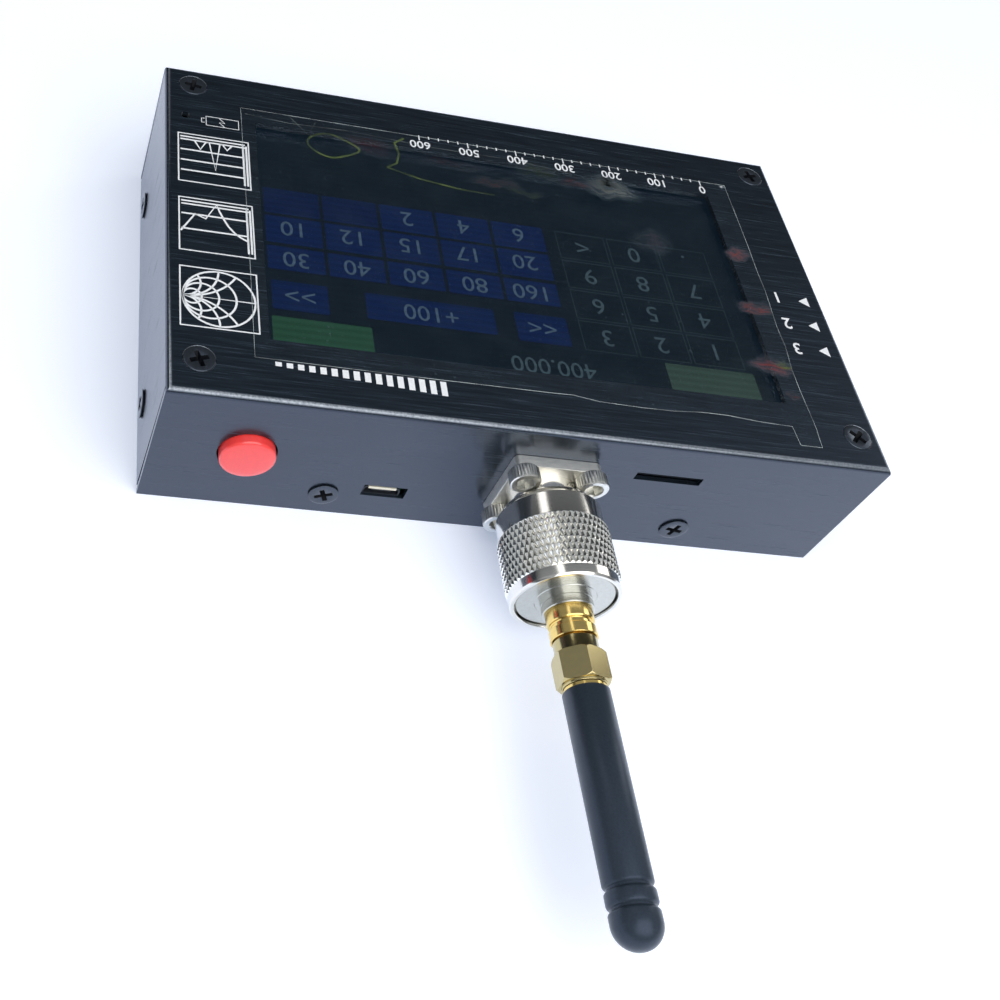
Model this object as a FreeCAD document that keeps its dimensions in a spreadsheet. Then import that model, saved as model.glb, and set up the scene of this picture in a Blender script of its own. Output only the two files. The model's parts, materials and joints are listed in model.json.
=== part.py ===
import FreeCAD, Part

import math
import os
import re

import Sketcher
from FreeCAD import Rotation, Vector

# A hand-held antenna analyzer: a folded aluminium case with a colour touch display, an N
# socket on the end wall, an N to SMA adapter screwed on it and a stub antenna on the adapter.
# Millimetres.  The case lies on its back: +Z leaves the display, +Y points the antenna's way,
# +X is the right side of the upright front.  The origin is the middle of the back face.

# ---------------------------------------------------------------- driving dimensions

SIZES = {
    # folded case
    "case_length": 133.0,
    "case_width": 83.0,
    "case_height": 29.6,
    "sheet": 1.0,
    "bend_radius": 1.1,
    "seam_gap": 0.3,
    "corner_relief": 0.9,
    "window_end_border": 3.75,
    "window_side_border": 5.6,
    "window_x": -0.2,
    "window_y": 0.1,
    # back cover with its tapped lips
    "cover_sheet": 1.0,
    "cover_clearance": 0.15,
    "lip_width": 10.0,
    "lip_height": 9.6,
    # machine screws and nuts, M3 and M2.5
    "screw_radius": 1.5,
    "thread_clearance": 0.05,
    "shank_clearance": 0.2,
    "flat_head_radius": 2.75,
    "flat_head_rim": 0.15,
    "cross_width": 0.75,
    "cross_span": 3.2,
    "cross_depth": 0.9,
    "face_screw_length": 12.0,
    "face_screw_x": -0.4,
    "face_screw_y": -1.1,
    "face_screw_inset_x": 5.1,
    "face_screw_inset_y": 6.15,
    "side_screw_length": 5.5,
    "side_screw_proud": 0.45,
    "side_screw_height": 5.6,
    "long_wall_screw_x": -0.7,
    "long_wall_screw_span": 69.0,
    "short_wall_screw_y": -0.3,
    "short_wall_screw_span": 51.9,
    "nut_flats": 5.5,
    "nut_height": 2.4,
    # display stack
    "display_end_room": 13.75,
    "display_side_room": 7.9,
    "module_x": 0.1,
    "module_y": 0.0,
    "gasket_thickness": 0.3,
    "gasket_margin": 0.5,
    "touch_thickness": 1.2,
    "lcd_frame_thickness": 2.9,
    "lcd_frame_border": 2.4,
    "lcd_glass_thickness": 1.2,
    "light_guide_thickness": 1.1,
    "lcd_fit": 0.1,
    "tape_width": 9.0,
    "tape_length": 44.0,
    "ribbon_x": 8.0,
    "ribbon_width": 26.0,
    "ribbon_thickness": 0.2,
    "ribbon_loop": 0.8,
    "ribbon_exit_depth": 1.4,
    "ribbon_reach": 9.0,
    "ribbon_socket_width": 30.0,
    "ribbon_socket_depth": 4.0,
    "ribbon_socket_room": 0.2,
    # protective film with its pull tab
    "film_thickness": 0.12,
    "film_margin_left": 4.3,
    "film_margin_right": 2.8,
    "film_margin_far": 3.9,
    "film_margin_near": 4.5,
    "film_tab_width": 4.6,
    "film_tab_reach": 5.2,
    # main board
    "spacer_length": 5.6,
    "spacer_radius": 3.0,
    "spacer_bore_clearance": 0.1,
    "board_thickness": 1.6,
    "board_margin": 1.0,
    "notch_margin": 0.8,
    "processor_side": 20.0,
    "processor_height": 1.4,
    "chip_gap": 0.35,
    "processor_y": -16.0,
    "memory_length": 22.0,
    "memory_width": 10.0,
    "memory_height": 1.0,
    "memory_y": 4.0,
    "crystal_length": 11.0,
    "crystal_width": 4.6,
    "crystal_height": 3.4,
    "crystal_inset": 24.5,
    "crystal_y": -16.0,
    "crystal_pitch": 8.0,
    # charging light
    "light_inset_x": 3.9,
    "light_inset_y": 14.4,
    "light_hole_radius": 0.9,
    "light_radius": 1.5,
    "light_collar_radius": 1.9,
    "light_collar_height": 1.0,
    "light_gap": 0.2,
    # memory card socket
    "card_gap": 0.7,
    "card_slot_length": 13.0,
    "card_slot_height": 2.05,
    "card_socket_length": 14.0,
    "card_socket_depth": 14.5,
    "card_socket_height": 1.9,
    "card_length": 11.2,
    "card_height": 1.0,
    "card_depth": 13.0,
    "socket_gap": 0.2,
    # power switch
    "button_inset": 16.55,
    "button_drop": 6.2,
    "button_radius": 4.95,
    "button_proud": 1.9,
    "button_length": 6.0,
    "button_rounding": 0.45,
    "button_hole_clearance": 0.3,
    "button_travel": 1.5,
    "stem_radius": 1.8,
    "stem_in_button": 3.5,
    "stem_in_switch": 3.0,
    "stem_clearance": 0.05,
    "stem_end_room": 0.5,
    "switch_width": 12.0,
    "switch_depth": 9.5,
    "switch_setback": 5.6,
    # three-position band switch
    "band_y": 6.9,
    "band_step": 3.0,
    "band_frame_length": 21.0,
    "band_frame_depth": 8.0,
    "band_frame_height": 9.0,
    "band_frame_wall": 0.6,
    "band_base_thickness": 1.2,
    "band_knob_length": 4.0,
    "band_knob_height": 3.0,
    "band_knob_proud": 2.2,
    "band_slider_length": 7.0,
    "band_fit": 0.1,
    "band_slot_clearance": 0.3,
    # N socket on the end wall
    "socket_x": -4.05,
    "socket_drop": 6.6,
    "flange_edge": 1.8,
    "flange_thickness": 2.3,
    "flange_corner": 1.1,
    "flange_pitch": 12.7,
    "flange_screw_clearance": 0.05,
    "cap_head_radius": 2.75,
    "cap_head_height": 2.7,
    "cap_socket_flats": 2.5,
    "cap_socket_depth": 1.5,
    "cap_screw_length": 6.0,
    "rear_barrel_radius": 5.0,
    "rear_barrel_length": 6.5,
    "rear_hole_clearance": 0.15,
    "boss_gap": 0.03,
    "socket_boss_end": 5.3,
    "socket_thread_radius": 7.94,
    "socket_end": 13.6,
    "sleeve_gap": 0.1,
    "socket_bore_floor": 4.0,
    "socket_insulator_radius": 3.6,
    "contact_pin_radius": 0.8,
    "contact_radius": 1.55,
    "contact_end": 11.5,
    "contact_bore_depth": 6.0,
    "contact_tail": 5.0,
    "press_clearance": 0.02,
    "slide_clearance": 0.06,
    # N to SMA adapter
    "gasket_ring_thickness": 0.6,
    "gasket_ring_inset": 0.55,
    "adapter_sleeve_radius": 4.0,
    "adapter_sleeve_bore": 3.3,
    "adapter_sleeve_start": 6.0,
    "adapter_disc_radius": 8.35,
    "adapter_disc_length": 8.3,
    "adapter_web": 5.7,
    "adapter_bore": 2.6,
    "hub_radius": 4.38,
    "hub_length": 3.6,
    "hub_line_offset": 1.6,
    "hub_line_width": 0.2,
    "hub_line_depth": 0.12,
    "ring_offset": 2.8,
    "ring_width": 1.1,
    "ring_groove_depth": 0.55,
    "ring_room": 0.1,
    "ring_mouth": 4.0,
    # knurled coupling nut
    "nut_start": 7.3,
    "nut_collar_step": 0.55,
    "nut_collar_length": 4.4,
    "nut_wall": 1.32,
    "nut_rim_length": 2.1,
    "nut_rim_step": 0.25,
    "nut_overhang": 1.5,
    "nut_edge": 0.3,
    "nut_disc_clearance": 0.08,
    "nut_mouth_step": 0.22,
    "nut_mouth_depth": 2.5,
    # SMA jack of the adapter
    "jack_stem_radius": 3.0,
    "jack_barrel_radius": 3.97,
    "jack_barrel_length": 2.3,
    "jack_groove_radius": 3.45,
    "jack_groove_length": 1.0,
    "jack_ring_length": 1.9,
    "jack_thread_radius": 3.175,
    "jack_thread_length": 5.9,
    "jack_insulator_radius": 2.0,
    "centre_pin_radius": 0.64,
    "centre_bore_radius": 0.5,
    # stub antenna
    "hex_flats": 8.0,
    "hex_gap": 0.2,
    "hex_collar_radius": 3.7,
    "hex_collar_length": 2.4,
    "hex_length": 5.4,
    "hex_chamfer": 0.45,
    "hex_turn": 21.0,
    "hex_lip_length": 0.4,
    "hex_wall": 1.4,
    "ferrule_neck_radius": 2.55,
    "ferrule_ring_radius": 3.5,
    "ferrule_ring_length": 0.65,
    "ferrule_stem_radius": 2.7,
    "ferrule_stem_length": 5.65,
    "bead_radius": 1.5,
    "antenna_pin_radius": 0.45,
    "antenna_pin_reach": 3.5,
    "whip_radius": 3.84,
    "whip_length": 39.65,
    "whip_cap": 4.0,
    "first_groove_back": 8.7,
    "second_groove_back": 5.8,
    "whip_groove_width": 0.7,
    "whip_groove_depth": 0.3,
    "coil_radius": 2.15,
    "coil_wire_radius": 0.35,
    "coil_pitch": 2.4,
    "coil_room": 3.6,
    # radio board behind the N socket
    "rf_length": 31.0,
    "rf_depth": 38.0,
    "rf_edge_gap": 0.5,
    "rf_spacer_radius": 2.4,
    "rf_hole_inset": 3.2,
    "rf_screw_radius": 1.25,
    "rf_head_radius": 2.2,
    "rf_head_height": 0.95,
    "rf_screw_length": 5.0,
    "shield_length": 26.0,
    "shield_back_room": 7.5,
    "shield_height": 4.2,
    "shield_sheet": 0.3,
    "shield_setback": 6.5,
    "link_gap": 0.65,
    "link_width": 5.0,
    "link_header_height": 2.5,
    "link_pin": 0.64,
    "link_pin_pitch": 2.54,
    "link_pins": 7.0,
    "link_slot_width": 1.2,
    # battery
    "battery_length": 60.0,
    "battery_width": 48.0,
    "battery_air": 2.55,
    "battery_rounding": 2.0,
    "battery_lead_room": 6.8,
    "battery_gap": 0.45,
    "battery_tape": 0.5,
    "lead_radius": 0.6,
    "lead_pitch": 2.2,
    "lead_bend": 1.4,
    # charger board with its micro-USB receptacle
    "usb_screw_gap": 10.25,
    "usb_z": 7.95,
    "usb_opening_shift": -0.4,
    "usb_side_gap": 0.55,
    "usb_top_gap": 0.5,
    "usb_wide": 7.0,
    "usb_narrow": 5.2,
    "usb_height": 2.2,
    "usb_side_height": 1.2,
    "usb_depth": 5.6,
    "usb_sheet": 0.25,
    "usb_front_gap": 0.1,
    "usb_lip": 0.35,
    "usb_tongue_length": 3.6,
    "usb_tongue_thickness": 0.6,
    "usb_tongue_reach": 3.4,
    "usb_sill": 0.05,
    "charger_length": 17.5,
    "charger_depth": 25.0,
    "charger_thickness": 1.2,
    "charger_setback": 1.3,
    "charger_tongue_margin": 1.0,
    "charger_shoulder_gap": 1.3,
    "charger_post_radius": 2.0,
    "charger_post_inset": 2.6,
    "charger_chip_length": 5.0,
    "charger_chip_width": 4.0,
    "charger_chip_height": 1.5,
}

# Sizes and places that follow from the driving ones.
SEATS = {
    # folded case and back cover
    "wall_x": "case_length / 2",
    "wall_y": "case_width / 2",
    "inner_x": "wall_x - sheet",
    "inner_y": "wall_y - sheet",
    "face_in": "case_height - sheet",
    "cover_x": "inner_x - cover_clearance",
    "cover_y": "inner_y - cover_clearance",
    "face_screw_span_x": "case_length - 2 * face_screw_inset_x",
    "face_screw_span_y": "case_width - 2 * face_screw_inset_y",
    "screw_tip_y": "wall_y + side_screw_proud - side_screw_length",
    "spacer_bore": "flat_head_radius + flat_head_rim - sheet + spacer_bore_clearance",
    "nut_corner": "nut_flats / sqrt(3)",
    # display stack, window and film
    "module_length": "case_length - 2 * display_end_room",
    "module_width": "case_width - 2 * display_side_room",
    "window_length": "module_length - 2 * window_end_border",
    "window_width": "module_width - 2 * window_side_border",
    "gasket_bottom": "face_in - gasket_thickness",
    "touch_bottom": "gasket_bottom - touch_thickness",
    "lcd_bottom": "touch_bottom - lcd_frame_thickness",
    "pocket_length": "module_length - 2 * lcd_frame_border",
    "pocket_width": "module_width - 2 * lcd_frame_border",
    "glass_top": "touch_bottom - lcd_fit",
    "glass_bottom": "glass_top - lcd_glass_thickness",
    "guide_bottom": "glass_bottom - light_guide_thickness",
    "film_left": "window_x - window_length / 2 - film_margin_left",
    "film_right": "window_x + window_length / 2 + film_margin_right",
    "film_far": "window_y - window_width / 2 - film_margin_far",
    "film_near": "window_y + window_width / 2 + film_margin_near",
    # main board and what hangs under it
    "board_top": "face_in - spacer_length",
    "board_bottom": "board_top - board_thickness",
    "board_x": "inner_x - board_margin",
    "board_y": "inner_y - board_margin",
    "ribbon_low": "(board_top + lcd_bottom - ribbon_thickness) / 2",
    "crystal_x": "wall_x - crystal_inset",
    "light_x": "wall_x - light_inset_x",
    "light_y": "light_inset_y - wall_y",
    "button_x": "wall_x - button_inset",
    "button_z": "board_bottom - button_drop",
    "switch_height": "2 * button_drop",
    "switch_front": "inner_y - switch_setback",
    "button_front": "wall_y + button_proud",
    "button_back": "button_front - button_length",
    "band_z": "board_bottom - band_frame_height / 2",
    "band_front": "inner_x - socket_gap",
    # N socket on the end wall
    "socket_z": "board_bottom - socket_drop",
    "rear_length": "sheet + rear_barrel_length",
    "flange_side": "flange_pitch + 2 * flange_edge",
    "flange_screw_hole": "screw_radius + flange_screw_clearance",
    "socket_boss_radius": "flange_pitch / sqrt(2) - cap_head_radius - boss_gap",
    "socket_front_bore": "adapter_sleeve_radius + sleeve_gap",
    "contact_start": "socket_bore_floor + press_clearance",
    "notch_x": "flange_pitch / 2 + nut_corner + notch_margin",
    "notch_y": "inner_y - nut_height - notch_margin",
    # adapter and its coupling nut, as distances from the end wall
    "disc_start": "socket_end + gasket_ring_thickness",
    "adapter_disc_end": "disc_start + adapter_disc_length",
    "gasket_ring_radius": "adapter_disc_radius - gasket_ring_inset",
    "web_end": "disc_start + adapter_web",
    "hub_end": "adapter_disc_end + hub_length",
    "hub_line": "adapter_disc_end + hub_line_offset",
    "ring_start": "disc_start + ring_offset",
    "nut_inner": "adapter_disc_radius + nut_disc_clearance",
    "ring_inner": "adapter_disc_radius - ring_groove_depth + ring_room",
    "ring_outer": "nut_inner + ring_groove_depth - ring_room",
    "nut_knurl_radius": "nut_inner + nut_wall",
    "nut_collar_radius": "nut_knurl_radius - nut_collar_step",
    "nut_rim_radius": "nut_knurl_radius - nut_rim_step",
    "nut_mouth_radius": "nut_inner + nut_mouth_step",
    "nut_end": "adapter_disc_end + nut_overhang",
    "nut_collar_end": "nut_start + nut_collar_length",
    "nut_knurl_end": "nut_end - nut_rim_length",
    "nut_mouth_start": "nut_end - nut_mouth_depth",
    # SMA jack and antenna, as distances from the end wall
    "jack_barrel_end": "hub_end + jack_barrel_length",
    "jack_groove_end": "jack_barrel_end + jack_groove_length",
    "jack_end_of_ring": "jack_groove_end + jack_ring_length",
    "jack_end": "jack_end_of_ring + jack_thread_length",
    "hex_front": "jack_end_of_ring + hex_gap",
    "hex_start": "hex_front + hex_collar_length",
    "hex_end": "hex_start + hex_length",
    "hex_lip_end": "hex_end + hex_lip_length",
    "hex_corner": "hex_flats / sqrt(3)",
    "hex_floor": "hex_lip_end - hex_wall",
    "ferrule_ring_end": "hex_lip_end + ferrule_ring_length",
    "ferrule_stem_end": "ferrule_ring_end + ferrule_stem_length",
    "antenna_pin_start": "jack_end - antenna_pin_reach",
    "whip_end": "ferrule_ring_end + whip_length",
    "whip_bore_end": "whip_end - whip_cap",
    "first_groove": "whip_end - first_groove_back",
    "second_groove": "whip_end - second_groove_back",
    "coil_turns": "(whip_bore_end - ferrule_stem_end - coil_room) / coil_pitch",
    # radio board behind the N socket, and its neighbours on the main board
    "rf_top": "socket_z - contact_pin_radius",
    "rf_bottom": "rf_top - board_thickness",
    "rf_front": "inner_y - rear_barrel_length - rf_edge_gap",
    "rf_back": "rf_front - rf_depth",
    "rf_post": "board_bottom - rf_top",
    "rf_hole_reach": "rf_length / 2 - rf_hole_inset",
    "shield_front": "rf_front - shield_setback",
    "shield_depth": "shield_front - rf_back - shield_back_room",
    "link_y": "rf_back + rf_hole_inset",
    "link_length": "2 * (rf_hole_reach - rf_spacer_radius - link_gap)",
    "memory_x": "socket_x + rf_hole_reach + rf_spacer_radius + chip_gap + memory_length / 2",
    "processor_x": "memory_x",
    "card_slot_x": "socket_x - rf_hole_reach - rf_spacer_radius - card_gap - card_socket_length / 2",
    "card_z": "board_bottom - card_socket_height / 2",
    "card_front": "inner_y - socket_gap",
    # charger board with its receptacle, and the battery
    "usb_x": "long_wall_screw_x + long_wall_screw_span / 2 - usb_screw_gap",
    "usb_opening_x": "usb_x + usb_opening_shift",
    "usb_opening_length": "usb_wide + 2 * usb_side_gap",
    "usb_opening_height": "usb_height + usb_lip + usb_sill + usb_top_gap",
    "usb_bottom": "usb_z - usb_opening_height / 2 + usb_sill",
    "usb_front": "wall_y - usb_front_gap",
    "charger_top": "usb_bottom",
    "charger_bottom": "charger_top - charger_thickness",
    "charger_front": "inner_y - charger_setback",
    "charger_back": "charger_front - charger_depth",
    "charger_shoulder": "screw_tip_y - charger_shoulder_gap",
    "charger_left": "usb_x - charger_length / 2",
    "battery_bottom": "cover_sheet + battery_tape",
    "battery_thickness": "rf_bottom - rf_head_height - battery_air - battery_bottom",
    "battery_right": "charger_left - battery_lead_room",
    "battery_x": "battery_right - battery_length / 2",
    "battery_y": "battery_gap + battery_width / 2 - screw_tip_y",
}

PARTS_FOLDER = "parts"

doc = FreeCAD.newDocument("AntennaAnalyzer")
sheet = doc.addObject("Spreadsheet::Sheet", "Sizes")
for row, (word, value) in enumerate(SIZES.items(), start=1):
    sheet.set(f"A{row}", word)
    sheet.set(f"B{row}", str(value))
    sheet.setAlias(f"B{row}", word)
doc.recompute()

OWNER = {word: "Sizes" for word in SIZES}
OWNER.update({word: "Seats" for word in SEATS})


def bound(text):
    """Turns a note such as "wall_x - sheet" into an expression on the sheet's cells."""
    def qualified(match):
        word = match.group(0)
        return f"{OWNER[word]}.{word}" if word in OWNER else word
    return re.sub(r"[a-z]\w*", qualified, str(text))


seats = doc.addObject("App::VarSet", "Seats")
for word in SEATS:
    seats.addProperty("App::PropertyFloat", word)
for word, text in SEATS.items():
    seats.setExpression(word, bound(text))
doc.recompute()


def size(text):
    """The present value of a note, for geometry that is set in code."""
    return float(sheet.evalExpression(bound(text)))


# ---------------------------------------------------------------- ways of making a solid

AXES = {
    "x": Rotation(Vector(0, 1, 0), 90),
    "y": Rotation(Vector(1, 0, 0), -90),
    "z": Rotation(),
}
TOWARDS_MINUS = {
    "x": Rotation(Vector(0, 1, 0), -90),
    "y": Rotation(Vector(1, 0, 0), 90),
}
kept = {}


def keep(solid):
    """Marks a sub-part: its label names its file."""
    kept[solid.Label] = solid
    return solid


def place(solid, x="0", y="0", z="0", turn=None):
    if turn is not None:
        solid.Placement.Rotation = turn
    for axis, text in zip("xyz", (x, y, z)):
        solid.setExpression(f"Placement.Base.{axis}", bound(text))
    return solid


def block(name, x, y, z):
    """A box from pairs of notes, each pair its lower and upper side along an axis."""
    solid = doc.addObject("Part::Box", name)
    for side, (low, high) in zip(("Length", "Width", "Height"), (x, y, z)):
        solid.setExpression(side, bound(f"({high}) - ({low})"))
    return place(solid, x[0], y[0], z[0])


def rod(name, radius, axis, start, end, across, kind="Part::Cylinder"):
    """A cylinder along an axis from start to end; across gives its other two coordinates."""
    solid = doc.addObject(kind, name)
    if kind == "Part::Cylinder":
        solid.setExpression("Radius", bound(radius))
    if kind == "Part::Cone":
        solid.setExpression("Radius1", bound(radius[0]))
        solid.setExpression("Radius2", bound(radius[1]))
    if kind == "Part::Prism":
        solid.Polygon = 6
        solid.setExpression("Circumradius", bound(radius))
    solid.setExpression("Height", bound(f"({end}) - ({start})"))
    spot = list(across)
    spot.insert("xyz".index(axis), start)
    return place(solid, *spot, turn=AXES[axis])


def fuse(name, *solids):
    joined = doc.addObject("Part::MultiFuse", name)
    joined.Shapes = list(solids)
    return joined


def cut(name, base, *tools):
    """Cuts all the tools from the base in one go."""
    result = doc.addObject("Part::Cut", name)
    result.Base = base
    result.Tool = tools[0] if len(tools) == 1 else fuse(f"{name}_tools", *tools)
    return result


def repeated(name, pattern, spots):
    """Copies of one solid in one sub-part; a spot is x, y, z and, if turned, its rotation."""
    copies = []
    for number, spot in enumerate(spots, start=1):
        copy = doc.addObject("App::Link", f"{name}_{number}")
        copy.LinkedObject = pattern
        place(copy, *spot[:3], turn=spot[3] if len(spot) > 3 else None)
        copies.append(copy)
    group = doc.addObject("Part::Compound", name)
    group.Links = copies
    return group


def origin_plane(body, role):
    return next(plane for plane in body.Origin.OriginFeatures if plane.Role == role)


def outline(sketch, points):
    """A closed outline whose corners are dimensioned from the sketch's origin."""
    first = sketch.GeometryCount
    count = len(points)
    spots = [(size(across), size(along)) for across, along in points]
    for number in range(count):
        here = Vector(*spots[number], 0)
        there = Vector(*spots[(number + 1) % count], 0)
        sketch.addGeometry(Part.LineSegment(here, there))
    for number in range(count):
        after = first + (number + 1) % count
        sketch.addConstraint(Sketcher.Constraint("Coincident", first + number, 2, after, 1))
    for number, corner in enumerate(points):
        for kind, axis, text, value in zip(("DistanceX", "DistanceY"), (-2, -1), corner,
                                           spots[number]):
            line = first + number
            if text == "0":
                sketch.addConstraint(Sketcher.Constraint("PointOnObject", line, 1, axis))
                continue
            rule = sketch.addConstraint(Sketcher.Constraint(kind, -1, 1, line, 1, value))
            sketch.setExpression(f"Constraints[{rule}]", bound(text))


def circle(sketch, radius, across, along):
    number = sketch.GeometryCount
    spot = Vector(size(across), size(along), 0)
    sketch.addGeometry(Part.Circle(spot, Vector(0, 0, 1), size(radius)))
    rule = sketch.addConstraint(Sketcher.Constraint("Radius", number, size(radius)))
    sketch.setExpression(f"Constraints[{rule}]", bound(radius))
    for kind, text in (("DistanceX", across), ("DistanceY", along)):
        rule = sketch.addConstraint(
            Sketcher.Constraint(kind, -1, 1, number, 3, size(text)))
        sketch.setExpression(f"Constraints[{rule}]", bound(text))


def new_sketch(body, role, name):
    sketch = body.newObject("Sketcher::SketchObject", name)
    sketch.AttachmentSupport = [(origin_plane(body, role), "")]
    sketch.MapMode = "FlatFace"
    return sketch


def turned(name, axis, profile, across=("0", "0"), start="0"):
    """A lathe-turned body.  The profile is radius and distance along the axis."""
    body = doc.addObject("PartDesign::Body", name)
    role = "XY_Plane" if axis == "y" else "XZ_Plane"
    sketch = new_sketch(body, role, f"{name}_profile")
    outline(sketch, profile)
    lathe = body.newObject("PartDesign::Revolution", f"{name}_turning")
    lathe.Profile = sketch
    lathe.ReferenceAxis = (sketch, ["V_Axis"])
    lathe.Angle = 360
    spot = list(across)
    spot.insert("xyz".index(axis), start)
    return place(body, *spot)


def plate(name, corners, thickness, z, holes=()):
    """A flat body: an outline with round holes, raised from z by its thickness."""
    body = doc.addObject("PartDesign::Body", name)
    sketch = new_sketch(body, "XY_Plane", f"{name}_outline")
    outline(sketch, corners)
    for radius, across, along in holes:
        circle(sketch, radius, across, along)
    pad = body.newObject("PartDesign::Pad", f"{name}_sheet")
    pad.Profile = sketch
    pad.setExpression("Length", bound(thickness))
    return place(body, z=z)


def rectangle(x, y, length, width):
    """The corners of a rectangle about its middle."""
    return [
        (f"{x} - ({length}) / 2", f"{y} - ({width}) / 2"),
        (f"{x} + ({length}) / 2", f"{y} - ({width}) / 2"),
        (f"{x} + ({length}) / 2", f"{y} + ({width}) / 2"),
        (f"{x} - ({length}) / 2", f"{y} + ({width}) / 2"),
    ]


def round_edges(body, radius, wanted):
    """Rounds those edges of a body for which wanted is true."""
    doc.recompute()
    base = body.Tip
    names = [f"Edge{number}" for number, edge in enumerate(base.Shape.Edges, start=1)
             if wanted(edge)]
    rounding = body.newObject("PartDesign::Fillet", f"{body.Name}_rounding")
    rounding.Base = (base, names)
    rounding.setExpression("Radius", bound(radius))
    body.Tip = rounding
    return body


def corners_of(x, y, span_x, span_y):
    """The four corners of a rectangular hole pattern."""
    return [(f"{x} + ({across}) * ({span_x}) / 2", f"{y} + ({along}) * ({span_y}) / 2")
            for across in (-1, 1) for along in (-1, 1)]


def along_z(edge):
    box = edge.BoundBox
    return box.ZLength > max(box.XLength, box.YLength)


# ---------------------------------------------------------------- hole patterns

FACE_HOLES = corners_of("face_screw_x", "face_screw_y", "face_screw_span_x", "face_screw_span_y")
FLANGE_HOLES = corners_of("socket_x", "socket_z", "flange_pitch", "flange_pitch")
LONG_WALL_X = [f"long_wall_screw_x + ({side}) * long_wall_screw_span / 2" for side in (-1, 1)]
SHORT_WALL_Y = [f"short_wall_screw_y + ({side}) * short_wall_screw_span / 2" for side in (-1, 1)]
RF_HOLES = corners_of("socket_x", "(rf_front + rf_back) / 2",
                      "rf_length - 2 * rf_hole_inset", "rf_depth - 2 * rf_hole_inset")

# ---------------------------------------------------------------- front shell


def make_front_shell():
    tray = doc.addObject("PartDesign::Body", "folded_tray")
    whole = new_sketch(tray, "XY_Plane", "tray_outline")
    outline(whole, rectangle("0", "0", "case_length", "case_width"))
    pad = tray.newObject("PartDesign::Pad", "tray_block")
    pad.Profile = whole
    pad.setExpression("Length", bound("case_height"))
    top = size("case_height")
    round_edges(tray, "bend_radius", lambda edge: edge.BoundBox.ZMin > top - 0.001)

    inside = new_sketch(tray, "XY_Plane", "tray_inside")
    outline(inside, rectangle("0", "0", "2 * inner_x", "2 * inner_y"))
    hollow = tray.newObject("PartDesign::Pocket", "tray_hollow")
    hollow.Profile = inside
    hollow.Reversed = True
    hollow.setExpression("Length", bound("face_in"))

    opening = new_sketch(tray, "XY_Plane", "window_outline")
    outline(opening, rectangle("window_x", "window_y", "window_length", "window_width"))
    circle(opening, "light_hole_radius", "light_x", "light_y")
    window = tray.newObject("PartDesign::Pocket", "window")
    window.Profile = opening
    window.Reversed = True
    window.Type = "ThroughAll"
    tray.Tip = window

    tools = []
    clear = "2 * thread_clearance"
    for number, (x, y) in enumerate(FACE_HOLES, start=1):
        tools.append(rod(f"face_sink_{number}",
                         ("spacer_bore - spacer_bore_clearance", "flat_head_radius + flat_head_rim"),
                         "z", "face_in", "case_height", (x, y), "Part::Cone"))
    for side in (-1, 1):
        inner, outer = ("inner_y", "wall_y") if side > 0 else ("-wall_y", "-inner_y")
        wide = f"flat_head_radius - (side_screw_proud - flat_head_rim) + {clear}"
        narrow = f"({wide}) - sheet"
        ends = (narrow, wide) if side > 0 else (wide, narrow)
        for number, x in enumerate(LONG_WALL_X, start=1):
            tools.append(rod(f"long_sink_{number}_{side + 1}", ends, "y", inner, outer,
                             (x, "side_screw_height"), "Part::Cone"))
        inner, outer = ("inner_x", "wall_x") if side > 0 else ("-wall_x", "-inner_x")
        for number, y in enumerate(SHORT_WALL_Y, start=1):
            tools.append(rod(f"short_sink_{number}_{side + 1}", ends, "x", inner, outer,
                             (y, "side_screw_height"), "Part::Cone"))
        for end in (-1, 1):
            # the open seam where a short wall meets a long one, with its relief at the bend
            x = ("inner_x", "wall_x") if side > 0 else ("-wall_x", "-inner_x")
            y = ("inner_y - seam_gap", "inner_y") if end > 0 else ("-inner_y", "-inner_y + seam_gap")
            tools.append(block(f"seam_{side + 1}_{end + 1}", x, y, ("0", "face_in")))
            y = (("inner_y - corner_relief", "inner_y") if end > 0
                 else ("-inner_y", "-inner_y + corner_relief"))
            tools.append(block(f"relief_{side + 1}_{end + 1}", x, y,
                               ("face_in - corner_relief / 2", "face_in")))

    tools.append(rod("socket_hole", "rear_barrel_radius + rear_hole_clearance", "y",
                     "inner_y", "wall_y", ("socket_x", "socket_z")))
    for number, (x, z) in enumerate(FLANGE_HOLES, start=1):
        tools.append(rod(f"flange_hole_{number}", "flange_screw_hole", "y",
                         "inner_y", "wall_y", (x, z)))
    tools.append(rod("button_hole", "button_radius + button_hole_clearance", "y",
                     "inner_y", "wall_y", ("button_x", "button_z")))
    tools.append(block("usb_opening",
                       ("usb_opening_x - usb_opening_length / 2",
                        "usb_opening_x + usb_opening_length / 2"),
                       ("inner_y", "wall_y"),
                       ("usb_z - usb_opening_height / 2", "usb_z + usb_opening_height / 2")))
    tools.append(block("card_opening",
                       ("card_slot_x - card_slot_length / 2", "card_slot_x + card_slot_length / 2"),
                       ("inner_y", "wall_y"),
                       ("card_z - card_slot_height / 2", "card_z + card_slot_height / 2")))
    reach = "band_step + band_knob_length / 2 + band_slot_clearance"
    rise = "band_knob_height / 2 + band_slot_clearance"
    tools.append(block("band_opening", ("-wall_x", "-inner_x"),
                       (f"band_y - ({reach})", f"band_y + ({reach})"),
                       (f"band_z - ({rise})", f"band_z + ({rise})")))
    keep(cut("front_shell", tray, *tools))


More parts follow.
